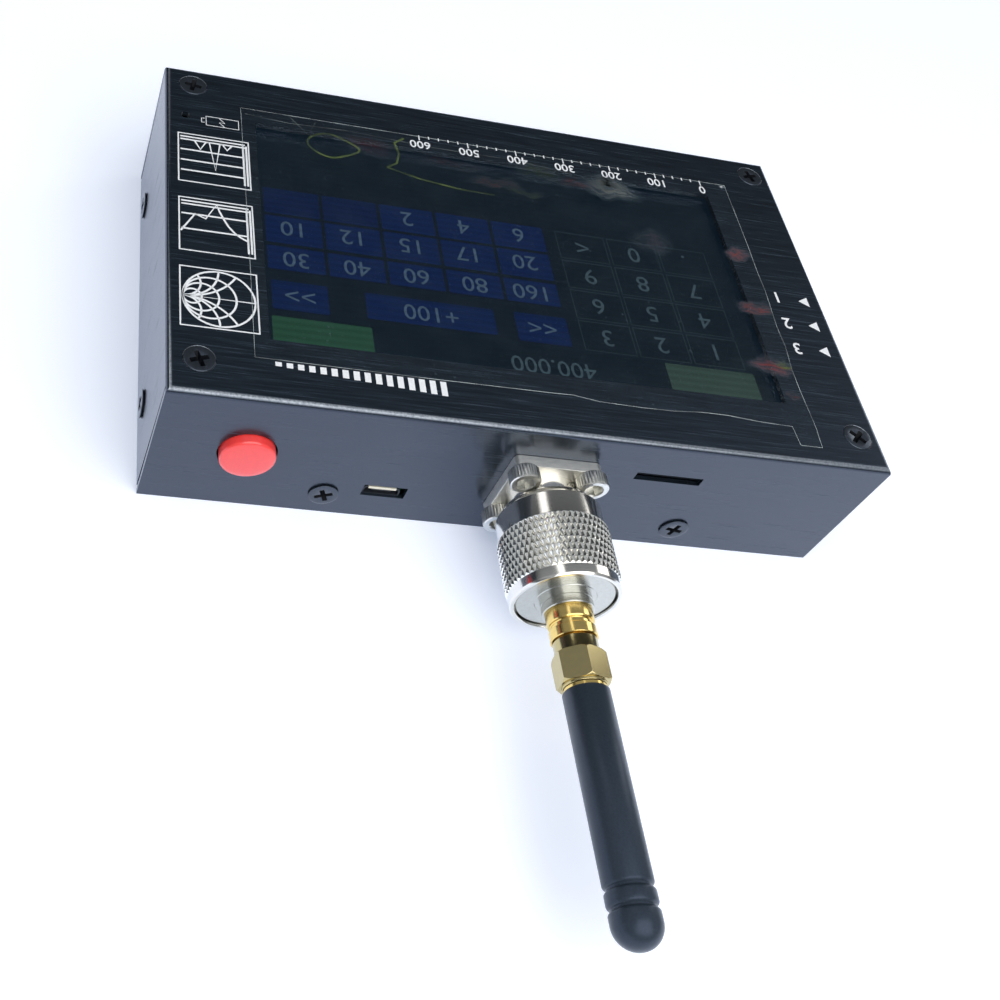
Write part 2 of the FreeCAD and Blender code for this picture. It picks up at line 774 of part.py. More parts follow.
def make_back_cover():
    floor = block("cover_floor", ("-cover_x", "cover_x"), ("-cover_y", "cover_y"),
                  ("0", "cover_sheet"))
    lips = [floor]
    holes = []
    tapped = "screw_radius"
    for side in (-1, 1):
        low, high = ("cover_y - cover_sheet", "cover_y") if side > 0 else (
            "-cover_y", "-cover_y + cover_sheet")
        for number, x in enumerate(LONG_WALL_X, start=1):
            lips.append(block(f"long_lip_{number}_{side + 1}",
                              (f"{x} - lip_width / 2", f"{x} + lip_width / 2"),
                              (low, high), ("0", "lip_height")))
            holes.append(rod(f"long_tap_{number}_{side + 1}", tapped, "y", low, high,
                             (x, "side_screw_height")))
        low, high = ("cover_x - cover_sheet", "cover_x") if side > 0 else (
            "-cover_x", "-cover_x + cover_sheet")
        for number, y in enumerate(SHORT_WALL_Y, start=1):
            lips.append(block(f"short_lip_{number}_{side + 1}", (low, high),
                              (f"{y} - lip_width / 2", f"{y} + lip_width / 2"),
                              ("0", "lip_height")))
            holes.append(rod(f"short_tap_{number}_{side + 1}", tapped, "x", low, high,
                             (y, "side_screw_height")))
    keep(cut("back_cover", fuse("cover_blank", *lips), *holes))


# ---------------------------------------------------------------- screws and nuts


def flat_head_screw(name, length):
    """A countersunk cross-head screw that stands on its tip, with its head up."""
    shank = "screw_radius - thread_clearance"
    cone_start = f"{length} - flat_head_rim - (flat_head_radius - ({shank}))"
    screw = turned(f"{name}_turned", "z", [
        ("0", "0"),
        (shank, "0"),
        (shank, cone_start),
        ("flat_head_radius", f"{length} - flat_head_rim"),
        ("flat_head_radius", length),
        ("0", length),
    ])
    half, arm = "cross_width / 2", "cross_span / 2"
    deep = (f"{length} - cross_depth", f"{length}")
    first = block(f"{name}_cross_a", (f"-({arm})", arm), (f"-({half})", half), deep)
    second = block(f"{name}_cross_b", (f"-({half})", half), (f"-({arm})", arm), deep)
    return cut(name, screw, first, second)


def make_screws():
    face = flat_head_screw("face_screw", "face_screw_length")
    keep(repeated("face_screws", face,
                  [(x, y, "case_height - face_screw_length") for x, y in FACE_HOLES]))
    side = flat_head_screw("side_screw", "side_screw_length")
    tip = "side_screw_proud - side_screw_length"
    spots = []
    for x in LONG_WALL_X:
        spots.append((x, f"wall_y + {tip}", "side_screw_height", AXES["y"]))
        spots.append((x, f"-(wall_y + {tip})", "side_screw_height", TOWARDS_MINUS["y"]))
    for y in SHORT_WALL_Y:
        spots.append((f"wall_x + {tip}", y, "side_screw_height", AXES["x"]))
        spots.append((f"-(wall_x + {tip})", y, "side_screw_height", TOWARDS_MINUS["x"]))
    keep(repeated("side_screws", side, spots))


def hex_nut(name):
    body = rod(f"{name}_hex", "nut_corner", "z", "0", "nut_height", ("0", "0"), "Part::Prism")
    hole = rod(f"{name}_thread", "screw_radius", "z", "0", "nut_height", ("0", "0"))
    return cut(name, body, hole)


# ---------------------------------------------------------------- display and main board


def make_display():
    outer = block("gasket_outer",
                  ("module_x - module_length / 2", "module_x + module_length / 2"),
                  ("module_y - module_width / 2", "module_y + module_width / 2"),
                  ("gasket_bottom", "face_in"))
    inner = block("gasket_inner",
                  ("window_x - window_length / 2 - gasket_margin",
                   "window_x + window_length / 2 + gasket_margin"),
                  ("window_y - window_width / 2 - gasket_margin",
                   "window_y + window_width / 2 + gasket_margin"),
                  ("gasket_bottom", "face_in"))
    keep(cut("panel_gasket", outer, inner))
    keep(plate("touch_panel",
               rectangle("module_x", "module_y", "module_length", "module_width"),
               "touch_thickness", "touch_bottom"))
    frame = block("lcd_frame_block",
                  ("module_x - module_length / 2", "module_x + module_length / 2"),
                  ("module_y - module_width / 2", "module_y + module_width / 2"),
                  ("lcd_bottom", "touch_bottom"))
    pocket = block("lcd_frame_pocket",
                   ("module_x - pocket_length / 2", "module_x + pocket_length / 2"),
                   ("module_y - pocket_width / 2", "module_y + pocket_width / 2"),
                   ("guide_bottom", "touch_bottom"))
    keep(cut("lcd_frame", frame, pocket))
    inside = rectangle("module_x", "module_y", "pocket_length - 2 * lcd_fit",
                       "pocket_width - 2 * lcd_fit")
    keep(plate("light_guide", inside, "light_guide_thickness", "guide_bottom"))
    keep(plate("lcd_glass", inside, "lcd_glass_thickness", "glass_bottom"))
    pad = plate("tape_pad", rectangle("0", "0", "tape_width", "tape_length"),
                "lcd_bottom - board_top", "0")
    reach = "(module_length - tape_width) / 2 - lcd_frame_border"
    keep(repeated("display_tape", pad,
                  [(f"module_x + ({side}) * ({reach})", "module_y", "board_top")
                   for side in (-1, 1)]))


def make_ribbon():
    """The flat cable that leaves the frame's long side and folds under it to its socket."""
    across = ("ribbon_x - ribbon_width / 2", "ribbon_x + ribbon_width / 2")
    edge = "module_y - module_width / 2"
    outer = f"{edge} - ribbon_loop"
    top = "touch_bottom - ribbon_exit_depth"
    low = "ribbon_low"
    tip = f"{edge} + ribbon_reach"
    out_of_frame = block("ribbon_exit", across, (outer, edge), (f"{top} - ribbon_thickness", top))
    drop = block("ribbon_fold", across, (outer, f"{outer} + ribbon_thickness"), (low, top))
    under = block("ribbon_run", across, (outer, tip), (low, f"{low} + ribbon_thickness"))
    keep(fuse("display_ribbon", out_of_frame, drop, under))
    case = block("ribbon_socket_case",
                 ("ribbon_x - ribbon_socket_width / 2", "ribbon_x + ribbon_socket_width / 2"),
                 (f"{tip} - ribbon_socket_depth / 2", f"{tip} + ribbon_socket_depth / 2"),
                 ("board_top", "lcd_bottom - ribbon_socket_room"))
    mouth = block("ribbon_socket_mouth",
                  ("ribbon_x - ribbon_width / 2 - lcd_fit", "ribbon_x + ribbon_width / 2 + lcd_fit"),
                  (f"{tip} - ribbon_socket_depth / 2", f"{tip} + lcd_fit"),
                  (f"{low} - lcd_fit", f"{low} + ribbon_thickness + lcd_fit"))
    keep(cut("ribbon_socket", case, mouth))


def make_film():
    tab_end = "film_near + film_tab_reach"
    keep(plate("screen_film", [
        ("film_left", "film_far"),
        ("film_right", "film_far"),
        ("film_right", "film_near"),
        ("film_left + film_tab_width", "film_near"),
        ("film_left + film_tab_width", tab_end),
        ("film_left", tab_end),
    ], "film_thickness", "case_height"))


def make_main_board():
    left, right = "socket_x - notch_x", "socket_x + notch_x"
    hole = "screw_radius + shank_clearance"
    radio_hole = "rf_screw_radius + shank_clearance"
    holes = [(hole, x, y) for x, y in FACE_HOLES]
    holes += [(radio_hole, x, y) for x, y in RF_HOLES]
    keep(plate("main_board", [
        ("-board_x", "-board_y"),
        ("board_x", "-board_y"),
        ("board_x", "board_y"),
        (right, "board_y"),
        (right, "notch_y"),
        (left, "notch_y"),
        (left, "board_y"),
        ("-board_x", "board_y"),
    ], "board_thickness", "board_bottom", holes))

    spacer = turned("board_spacer", "z", [
        ("spacer_bore", "0"),
        ("spacer_radius", "0"),
        ("spacer_radius", "spacer_length"),
        ("spacer_bore", "spacer_length"),
    ])
    keep(repeated("board_spacers", spacer, [(x, y, "board_top") for x, y in FACE_HOLES]))
    nut = hex_nut("board_nut")
    keep(repeated("board_nuts", nut,
                  [(x, y, "board_bottom - nut_height") for x, y in FACE_HOLES]))

    keep(block("processor_chip",
               ("processor_x - processor_side / 2", "processor_x + processor_side / 2"),
               ("processor_y - processor_side / 2", "processor_y + processor_side / 2"),
               ("board_bottom - processor_height", "board_bottom")))
    keep(block("memory_chip",
               ("memory_x - memory_length / 2", "memory_x + memory_length / 2"),
               ("memory_y - memory_width / 2", "memory_y + memory_width / 2"),
               ("board_bottom - memory_height", "board_bottom")))
    can = block("crystal_can", ("-crystal_length / 2", "crystal_length / 2"),
                ("-crystal_width / 2", "crystal_width / 2"), ("0", "crystal_height"))
    keep(repeated("crystals", can,
                  [("crystal_x", f"crystal_y + ({side}) * crystal_pitch / 2",
                    "board_bottom - crystal_height") for side in (-1, 1)]))
    top = "face_in - board_top - light_gap"
    light = turned("charge_light", "z", [
        ("0", "0"),
        ("light_collar_radius", "0"),
        ("light_collar_radius", "light_collar_height"),
        ("light_radius", "light_collar_height"),
        ("light_radius", top),
        ("0", top),
    ], ("light_x", "light_y"), "board_top")
    tip = size(top) - 0.001
    round_edges(light, "light_radius * 0.9", lambda edge: edge.BoundBox.ZMin > tip)
    keep(light)


def make_card_socket():
    case = block("card_socket_case",
                 ("card_slot_x - card_socket_length / 2", "card_slot_x + card_socket_length / 2"),
                 ("card_front - card_socket_depth", "card_front"),
                 ("board_bottom - card_socket_height", "board_bottom"))
    room = block("card_socket_room",
                 ("card_slot_x - card_length / 2", "card_slot_x + card_length / 2"),
                 ("card_front - card_depth", "card_front"),
                 ("card_z - card_height / 2", "card_z + card_height / 2"))
    keep(cut("card_socket", case, room))


# ---------------------------------------------------------------- switches


def make_power_switch():
    cap = turned("power_button", "y", [
        ("0", "0"),
        ("button_radius", "0"),
        ("button_radius", "button_length"),
        ("0", "button_length"),
    ], ("button_x", "button_z"), "button_back")
    front = size("button_length") - 0.001
    round_edges(cap, "button_rounding", lambda edge: edge.BoundBox.YMin > front)
    socket = new_sketch(cap, "XZ_Plane", "button_socket_outline")
    circle(socket, "stem_radius + press_clearance", "0", "0")
    bore = cap.newObject("PartDesign::Pocket", "button_socket")
    bore.Profile = socket
    bore.setExpression("Length", bound("stem_in_button"))
    bore.Reversed = False
    cap.Tip = bore
    keep(cap)
    keep(rod("button_stem", "stem_radius", "y", "switch_front - stem_in_switch",
             "button_back + stem_in_button", ("button_x", "button_z")))
    case = block("switch_case",
                 ("button_x - switch_width / 2", "button_x + switch_width / 2"),
                 ("switch_front - switch_depth", "switch_front"),
                 ("button_z - switch_height / 2", "button_z + switch_height / 2"))
    room = rod("switch_bore", "stem_radius + stem_clearance", "y",
               "switch_front - stem_in_switch - button_travel - stem_end_room",
               "switch_front", ("button_x", "button_z"))
    keep(cut("power_switch", case, room))


def make_band_switch():
    half = "band_frame_length / 2"
    rise = "band_frame_height / 2"
    back = "-band_front + band_frame_depth"
    case = block("band_case", ("-band_front", back), (f"band_y - {half}", f"band_y + {half}"),
                 (f"band_z - {rise}", f"band_z + {rise}"))
    room = block("band_room", ("-band_front + band_frame_wall", back),
                 (f"band_y - {half} + band_frame_wall", f"band_y + {half} - band_frame_wall"),
                 (f"band_z - {rise} + band_frame_wall", f"band_z + {rise} - band_frame_wall"))
    reach = "band_step + band_knob_length / 2 + band_slot_clearance"
    slot_rise = "band_knob_height / 2 + band_slot_clearance"
    slot = block("band_slot", ("-band_front", "-band_front + band_frame_wall"),
                 (f"band_y - ({reach})", f"band_y + ({reach})"),
                 (f"band_z - ({slot_rise})", f"band_z + ({slot_rise})"))
    keep(cut("band_switch_frame", case, room, slot))
    keep(block("band_switch_base", (f"{back} - band_base_thickness", back),
               (f"band_y - {half} + band_frame_wall + band_fit",
                f"band_y + {half} - band_frame_wall - band_fit"),
               (f"band_z - {rise} + band_frame_wall + band_fit",
                f"band_z + {rise} - band_frame_wall - band_fit")))
    slider = block("band_slider",
                   ("-band_front + band_frame_wall + band_fit",
                    f"{back} - band_base_thickness - band_fit"),
                   ("band_y - band_slider_length / 2", "band_y + band_slider_length / 2"),
                   (f"band_z - {rise} + band_frame_wall + band_fit",
                    f"band_z + {rise} - band_frame_wall - band_fit"))
    thumb = block("band_thumb",
                  ("-wall_x - band_knob_proud", "-band_front + band_frame_wall + band_fit"),
                  ("band_y - band_knob_length / 2", "band_y + band_knob_length / 2"),
                  ("band_z - band_knob_height / 2", "band_z + band_knob_height / 2"))
    keep(fuse("band_knob", slider, thumb))


# ---------------------------------------------------------------- N socket


def make_n_socket():
    middle = ("socket_x", "socket_z")
    barrel = turned("socket_barrel", "y", [
        ("socket_insulator_radius", "-rear_length"),
        ("rear_barrel_radius", "-rear_length"),
        ("rear_barrel_radius", "0"),
        ("socket_boss_radius", "0"),
        ("socket_boss_radius", "socket_boss_end"),
        ("socket_thread_radius", "socket_boss_end"),
        ("socket_thread_radius", "socket_end"),
        ("socket_front_bore", "socket_end"),
        ("socket_front_bore", "socket_bore_floor"),
        ("socket_insulator_radius", "socket_bore_floor"),
    ], middle, "wall_y")
    flange = plate("socket_flange", rectangle("0", "0", "flange_side", "flange_side"),
                   "flange_thickness", "0",
                   [("flange_screw_hole", x, y)
                    for x, y in corners_of("0", "0", "flange_pitch", "flange_pitch")]
                   + [("rear_barrel_radius", "0", "0")])
    round_edges(flange, "flange_corner",
                lambda edge: along_z(edge) and edge.Curve.TypeId == "Part::GeomLine"
                and abs(edge.Vertexes[0].X) > size("flange_side") / 2 - 0.001)
    place(flange, "socket_x", "wall_y", "socket_z", turn=AXES["y"])
    keep(fuse("n_socket", barrel, flange))

    keep(turned("n_insulator", "y", [
        ("contact_pin_radius + press_clearance", "-rear_length"),
        ("socket_insulator_radius - press_clearance", "-rear_length"),
        ("socket_insulator_radius - press_clearance", "socket_bore_floor"),
        ("contact_pin_radius + press_clearance", "socket_bore_floor"),
    ], middle, "wall_y"))
    bore = "contact_pin_radius + slide_clearance"
    keep(turned("n_contact", "y", [
        ("0", "-rear_length - contact_tail"),
        ("contact_pin_radius", "-rear_length - contact_tail"),
        ("contact_pin_radius", "contact_start"),
        ("contact_radius", "contact_start"),
        ("contact_radius", "contact_end"),
        (bore, "contact_end"),
        (bore, "contact_end - contact_bore_depth"),
        ("0", "contact_end - contact_bore_depth"),
    ], middle, "wall_y"))

    shank = "screw_radius - thread_clearance"
    turned_screw = turned("cap_screw_turned", "z", [
        ("0", "0"),
        (shank, "0"),
        (shank, "cap_screw_length"),
        ("cap_head_radius", "cap_screw_length"),
        ("cap_head_radius", "cap_screw_length + cap_head_height"),
        ("0", "cap_screw_length + cap_head_height"),
    ])
    key = rod("cap_screw_key", "cap_socket_flats / sqrt(3)", "z",
              "cap_screw_length + cap_head_height - cap_socket_depth",
              "cap_screw_length + cap_head_height", ("0", "0"), "Part::Prism")
    cap_screw = cut("cap_screw", turned_screw, key)
    tip = "wall_y + flange_thickness - cap_screw_length"
    keep(repeated("flange_screws", cap_screw,
                  [(x, tip, z, AXES["y"]) for x, z in FLANGE_HOLES]))
    nut = hex_nut("flange_nut")
    keep(repeated("flange_nuts", nut,
                  [(x, "inner_y - nut_height", z, AXES["y"]) for x, z in FLANGE_HOLES]))


# ---------------------------------------------------------------- adapter


def make_adapter():
    middle = ("socket_x", "socket_z")
    groove_end = "ring_start + ring_width + ring_room"
    groove_radius = "adapter_disc_radius - ring_groove_depth"
    line_radius = "hub_radius - hub_line_depth"
    jack_bore = "jack_stem_radius + press_clearance"
    keep(turned("adapter_body", "y", [
        ("adapter_sleeve_bore", "adapter_sleeve_start"),
        ("adapter_sleeve_radius", "adapter_sleeve_start"),
        ("adapter_sleeve_radius", "disc_start"),
        ("adapter_disc_radius", "disc_start"),
        ("adapter_disc_radius", "ring_start"),
        (groove_radius, "ring_start"),
        (groove_radius, groove_end),
        ("adapter_disc_radius", groove_end),
        ("adapter_disc_radius", "adapter_disc_end"),
        ("hub_radius", "adapter_disc_end"),
        ("hub_radius", "hub_line"),
        (line_radius, "hub_line"),
        (line_radius, "hub_line + hub_line_width"),
        ("hub_radius", "hub_line + hub_line_width"),
        ("hub_radius", "hub_end"),
        (jack_bore, "hub_end"),
        (jack_bore, "web_end"),
        ("adapter_bore", "web_end"),
        ("adapter_bore", "disc_start"),
        ("adapter_sleeve_bore", "disc_start"),
    ], middle, "wall_y"))

    keep(turned("adapter_gasket", "y", [
        ("adapter_sleeve_radius + press_clearance", "socket_end"),
        ("gasket_ring_radius", "socket_end"),
        ("gasket_ring_radius", "disc_start"),
        ("adapter_sleeve_radius + press_clearance", "disc_start"),
    ], middle, "wall_y"))
    whole_ring = turned("ring_turned", "y", [
        ("ring_inner", "ring_start + ring_room / 2"),
        ("ring_outer", "ring_start + ring_room / 2"),
        ("ring_outer", "ring_start + ring_width + ring_room / 2"),
        ("ring_inner", "ring_start + ring_width + ring_room / 2"),
    ], middle, "wall_y")
    mouth = block("ring_mouth_cut",
                  ("socket_x - ring_mouth / 2", "socket_x + ring_mouth / 2"),
                  ("wall_y + ring_start", "wall_y + ring_start + 2 * ring_width"),
                  ("socket_z - nut_knurl_radius", "socket_z"))
    keep(cut("nut_ring", whole_ring, mouth))

    threads = "socket_thread_radius + slide_clearance"
    ring_room = "ring_outer + ring_room"
    keep(turned("coupling_nut", "y", [
        (threads, "nut_start"),
        ("nut_collar_radius", "nut_start"),
        ("nut_collar_radius", "nut_collar_end"),
        ("nut_knurl_radius", "nut_collar_end"),
        ("nut_knurl_radius", "nut_knurl_end"),
        ("nut_rim_radius", "nut_knurl_end"),
        ("nut_rim_radius", "nut_end - nut_edge"),
        ("nut_rim_radius - nut_edge", "nut_end"),
        ("nut_mouth_radius", "nut_end"),
        ("nut_mouth_radius", "nut_mouth_start"),
        ("nut_inner", "nut_mouth_start"),
        ("nut_inner", groove_end),
        (ring_room, groove_end),
        (ring_room, "ring_start"),
        ("nut_inner", "ring_start"),
        ("nut_inner", "socket_end"),
        (threads, "socket_end"),
    ], middle, "wall_y"))

    pin_tip = "contact_end - contact_bore_depth + 2 * socket_gap"
    keep(turned("adapter_insulator", "y", [
        ("contact_pin_radius + press_clearance", "disc_start"),
        ("adapter_bore - press_clearance", "disc_start"),
        ("adapter_bore - press_clearance", "web_end"),
        ("contact_pin_radius + press_clearance", "web_end"),
    ], middle, "wall_y"))
    keep(turned("adapter_pin", "y", [
        ("0", pin_tip),
        ("contact_pin_radius", pin_tip),
        ("contact_pin_radius", "web_end"),
        ("centre_pin_radius", "web_end"),
        ("centre_pin_radius", "jack_end"),
        ("centre_bore_radius", "jack_end"),
        ("centre_bore_radius", "antenna_pin_start - socket_gap"),
        ("0", "antenna_pin_start - socket_gap"),
    ], middle, "wall_y"))
    keep(turned("sma_jack", "y", [
        ("jack_insulator_radius + press_clearance", "web_end"),
        ("jack_stem_radius", "web_end"),
        ("jack_stem_radius", "hub_end"),
        ("jack_barrel_radius", "hub_end"),
        ("jack_barrel_radius", "jack_barrel_end"),
        ("jack_groove_radius", "jack_barrel_end"),
        ("jack_groove_radius", "jack_groove_end"),
        ("jack_barrel_radius", "jack_groove_end"),
        ("jack_barrel_radius", "jack_end_of_ring"),
        ("jack_thread_radius", "jack_end_of_ring"),
        ("jack_thread_radius", "jack_end"),
        ("jack_insulator_radius + press_clearance", "jack_end"),
    ], middle, "wall_y"))
    keep(turned("sma_insulator", "y", [
        ("centre_pin_radius + press_clearance", "web_end"),
        ("jack_insulator_radius", "web_end"),
        ("jack_insulator_radius", "jack_end"),
        ("centre_pin_radius + press_clearance", "jack_end"),
    ], middle, "wall_y"))


# ---------------------------------------------------------------- antenna


def make_antenna_nut():
    middle = ("socket_x", "socket_z")
    spindle = turned("hex_spindle", "y", [
        ("jack_thread_radius + slide_clearance", "hex_front"),
        ("hex_collar_radius", "hex_front"),
        ("hex_collar_radius", "hex_start"),
        ("hex_corner - hex_chamfer", "hex_start"),
        ("hex_corner", "hex_start + hex_chamfer"),
        ("hex_corner", "hex_end - hex_chamfer"),
        ("hex_corner - hex_chamfer", "hex_end"),
        ("hex_collar_radius", "hex_end"),
        ("hex_collar_radius", "hex_lip_end"),
        ("ferrule_neck_radius + slide_clearance", "hex_lip_end"),
        ("ferrule_neck_radius + slide_clearance", "hex_floor"),
        ("jack_thread_radius + slide_clearance", "hex_floor"),
    ], middle, "wall_y")
    flats = rod("hex_flats_bar", "hex_corner", "y", "wall_y + hex_front", "wall_y + hex_lip_end",
                middle, "Part::Prism")
    flats.Placement.Rotation = AXES["y"].multiply(Rotation(Vector(0, 0, 1), size("hex_turn")))
    nut = doc.addObject("Part::Common", "antenna_nut")
    nut.Base = spindle
    nut.Tool = flats
    keep(nut)


def make_antenna():
    middle = ("socket_x", "socket_z")
    shoulder_end = "hex_floor - slide_clearance"
    start = "jack_end + socket_gap / 2"
    neck_end = "hex_lip_end + socket_gap / 2"
    bore = "bead_radius + press_clearance"
    keep(turned("antenna_ferrule", "y", [
        (bore, start),
        ("jack_thread_radius", start),
        ("jack_thread_radius", shoulder_end),
        ("ferrule_neck_radius", shoulder_end),
        ("ferrule_neck_radius", neck_end),
        ("ferrule_ring_radius", neck_end),
        ("ferrule_ring_radius", "ferrule_ring_end"),
        ("ferrule_stem_radius", "ferrule_ring_end"),
        ("ferrule_stem_radius", "ferrule_stem_end"),
        (bore, "ferrule_stem_end"),
    ], middle, "wall_y"))
    keep(turned("antenna_bead", "y", [
        ("antenna_pin_radius + press_clearance", start),
        ("bead_radius", start),
        ("bead_radius", "ferrule_stem_end"),
        ("antenna_pin_radius + press_clearance", "ferrule_stem_end"),
    ], middle, "wall_y"))
    pin_end = "ferrule_stem_end + coil_pitch / 2"
    keep(rod("antenna_pin", "antenna_pin_radius", "y", "wall_y + antenna_pin_start",
             f"wall_y + {pin_end}", middle))

    inner = "ferrule_stem_radius + press_clearance"
    waist = "whip_radius - whip_groove_depth"
    profile = [(inner, "ferrule_ring_end"), ("whip_radius", "ferrule_ring_end")]
    for groove in ("first_groove", "second_groove"):
        low, high = f"{groove} - whip_groove_width / 2", f"{groove} + whip_groove_width / 2"
        profile += [("whip_radius", low), (waist, low), (waist, high), ("whip_radius", high)]
    profile += [("whip_radius", "whip_end"), ("0", "whip_end"), ("0", "whip_bore_end"),
                (inner, "whip_bore_end")]
    whip = turned("antenna_whip", "y", profile, middle, "wall_y")
    tip = size("whip_end") - 0.001
    round_edges(whip, "whip_radius * 0.98", lambda edge: edge.BoundBox.YMin > tip)
    keep(whip)

    # the spring-wound radiator, one turn of wire above the other from the pin's shoulder
    radius, wire = size("coil_radius"), size("coil_wire_radius")
    pitch, turns = size("coil_pitch"), size("coil_turns")
    helix = Part.makeHelix(pitch, pitch * turns, radius)
    section = Part.Wire([Part.Circle(Vector(radius, 0, 0), Vector(0, 1, 0), wire).toShape()])
    coil = doc.addObject("Part::Feature", "antenna_coil")
    coil.Shape = Part.Wire(helix.Edges).makePipeShell([section], True, True)
    place(coil, "socket_x", "wall_y + ferrule_stem_end + coil_wire_radius + socket_gap",
          "socket_z", turn=AXES["y"])
    keep(coil)


# ---------------------------------------------------------------- radio board


def make_radio_board():
    hole = "rf_screw_radius + shank_clearance"
    keep(plate("rf_board",
               rectangle("socket_x", "(rf_front + rf_back) / 2", "rf_length", "rf_depth"),
               "board_thickness", "rf_bottom", [(hole, x, y) for x, y in RF_HOLES]))
    bore = "rf_screw_radius"
    spacer = turned("rf_spacer", "z", [
        (bore, "0"), ("rf_spacer_radius", "0"),
        ("rf_spacer_radius", "rf_post"), (bore, "rf_post"),
    ])
    keep(repeated("rf_spacers", spacer, [(x, y, "rf_top") for x, y in RF_HOLES]))
    shank = "rf_screw_radius - thread_clearance"
    head = turned("rf_screw_turned", "z", [
        ("0", "0"), (shank, "0"), (shank, "rf_screw_length"),
        ("rf_head_radius", "rf_screw_length"),
        ("rf_head_radius", "rf_screw_length + rf_head_height"),
        ("0", "rf_screw_length + rf_head_height"),
    ])
    over = Rotation(Vector(1, 0, 0), 180)
    spots = [(x, y, "board_top - rf_screw_length") for x, y in RF_HOLES]
    spots += [(x, y, "rf_bottom + rf_screw_length", over) for x, y in RF_HOLES]
    keep(repeated("rf_screws", head, spots))

    low, high = "shield_front - shield_depth", "shield_front"
    half = "shield_length / 2"
    lid = block("shield_case", (f"socket_x - {half}", f"socket_x + {half}"), (low, high),
                ("rf_top", "rf_top + shield_height"))
    room = block("shield_room",
                 (f"socket_x - {half} + shield_sheet", f"socket_x + {half} - shield_sheet"),
                 (f"{low} + shield_sheet", f"{high} - shield_sheet"),
                 ("rf_top", "rf_top + shield_height - shield_sheet"))
    keep(cut("rf_shield", lid, room))

    # the link between the two boards: a pin header below and its socket above
    across = ("socket_x - link_length / 2", "socket_x + link_length / 2")
    along = ("link_y - link_width / 2", "link_y + link_width / 2")
    header_top = "rf_top + link_header_height"
    pins = [block("link_header_block", across, along, ("rf_top", header_top))]
    count = int(size("link_pins"))
    for number in range(count):
        x = f"socket_x + ({number} - (link_pins - 1) / 2) * link_pin_pitch"
        pins.append(block(f"link_pin_{number + 1}", (f"{x} - link_pin / 2", f"{x} + link_pin / 2"),
                          ("link_y - link_pin / 2", "link_y + link_pin / 2"),
                          (header_top, "board_bottom - socket_gap")))
    keep(fuse("link_header", *pins))
    case = block("link_socket_case", across, along, (header_top, "board_bottom"))
    slot_end = "(link_pins - 1) / 2 * link_pin_pitch + link_pin"
    slot = block("link_socket_slot",
                 (f"socket_x - ({slot_end})", f"socket_x + ({slot_end})"),
                 ("link_y - link_slot_width / 2", "link_y + link_slot_width / 2"),
                 (header_top, "board_bottom - socket_gap / 2"))
    keep(cut("link_socket", case, slot))


# ---------------------------------------------------------------- battery and charger


def make_battery():
    cell = plate("battery_cell",
                 rectangle("battery_x", "battery_y", "battery_length", "battery_width"),
                 "battery_thickness", "battery_bottom")
    round_edges(cell, "battery_rounding", along_z)
    keep(cell)
    keep(plate("battery_pad",
               rectangle("battery_x", "battery_y", "battery_length * 0.8", "battery_width * 0.7"),
               "battery_tape", "cover_sheet"))


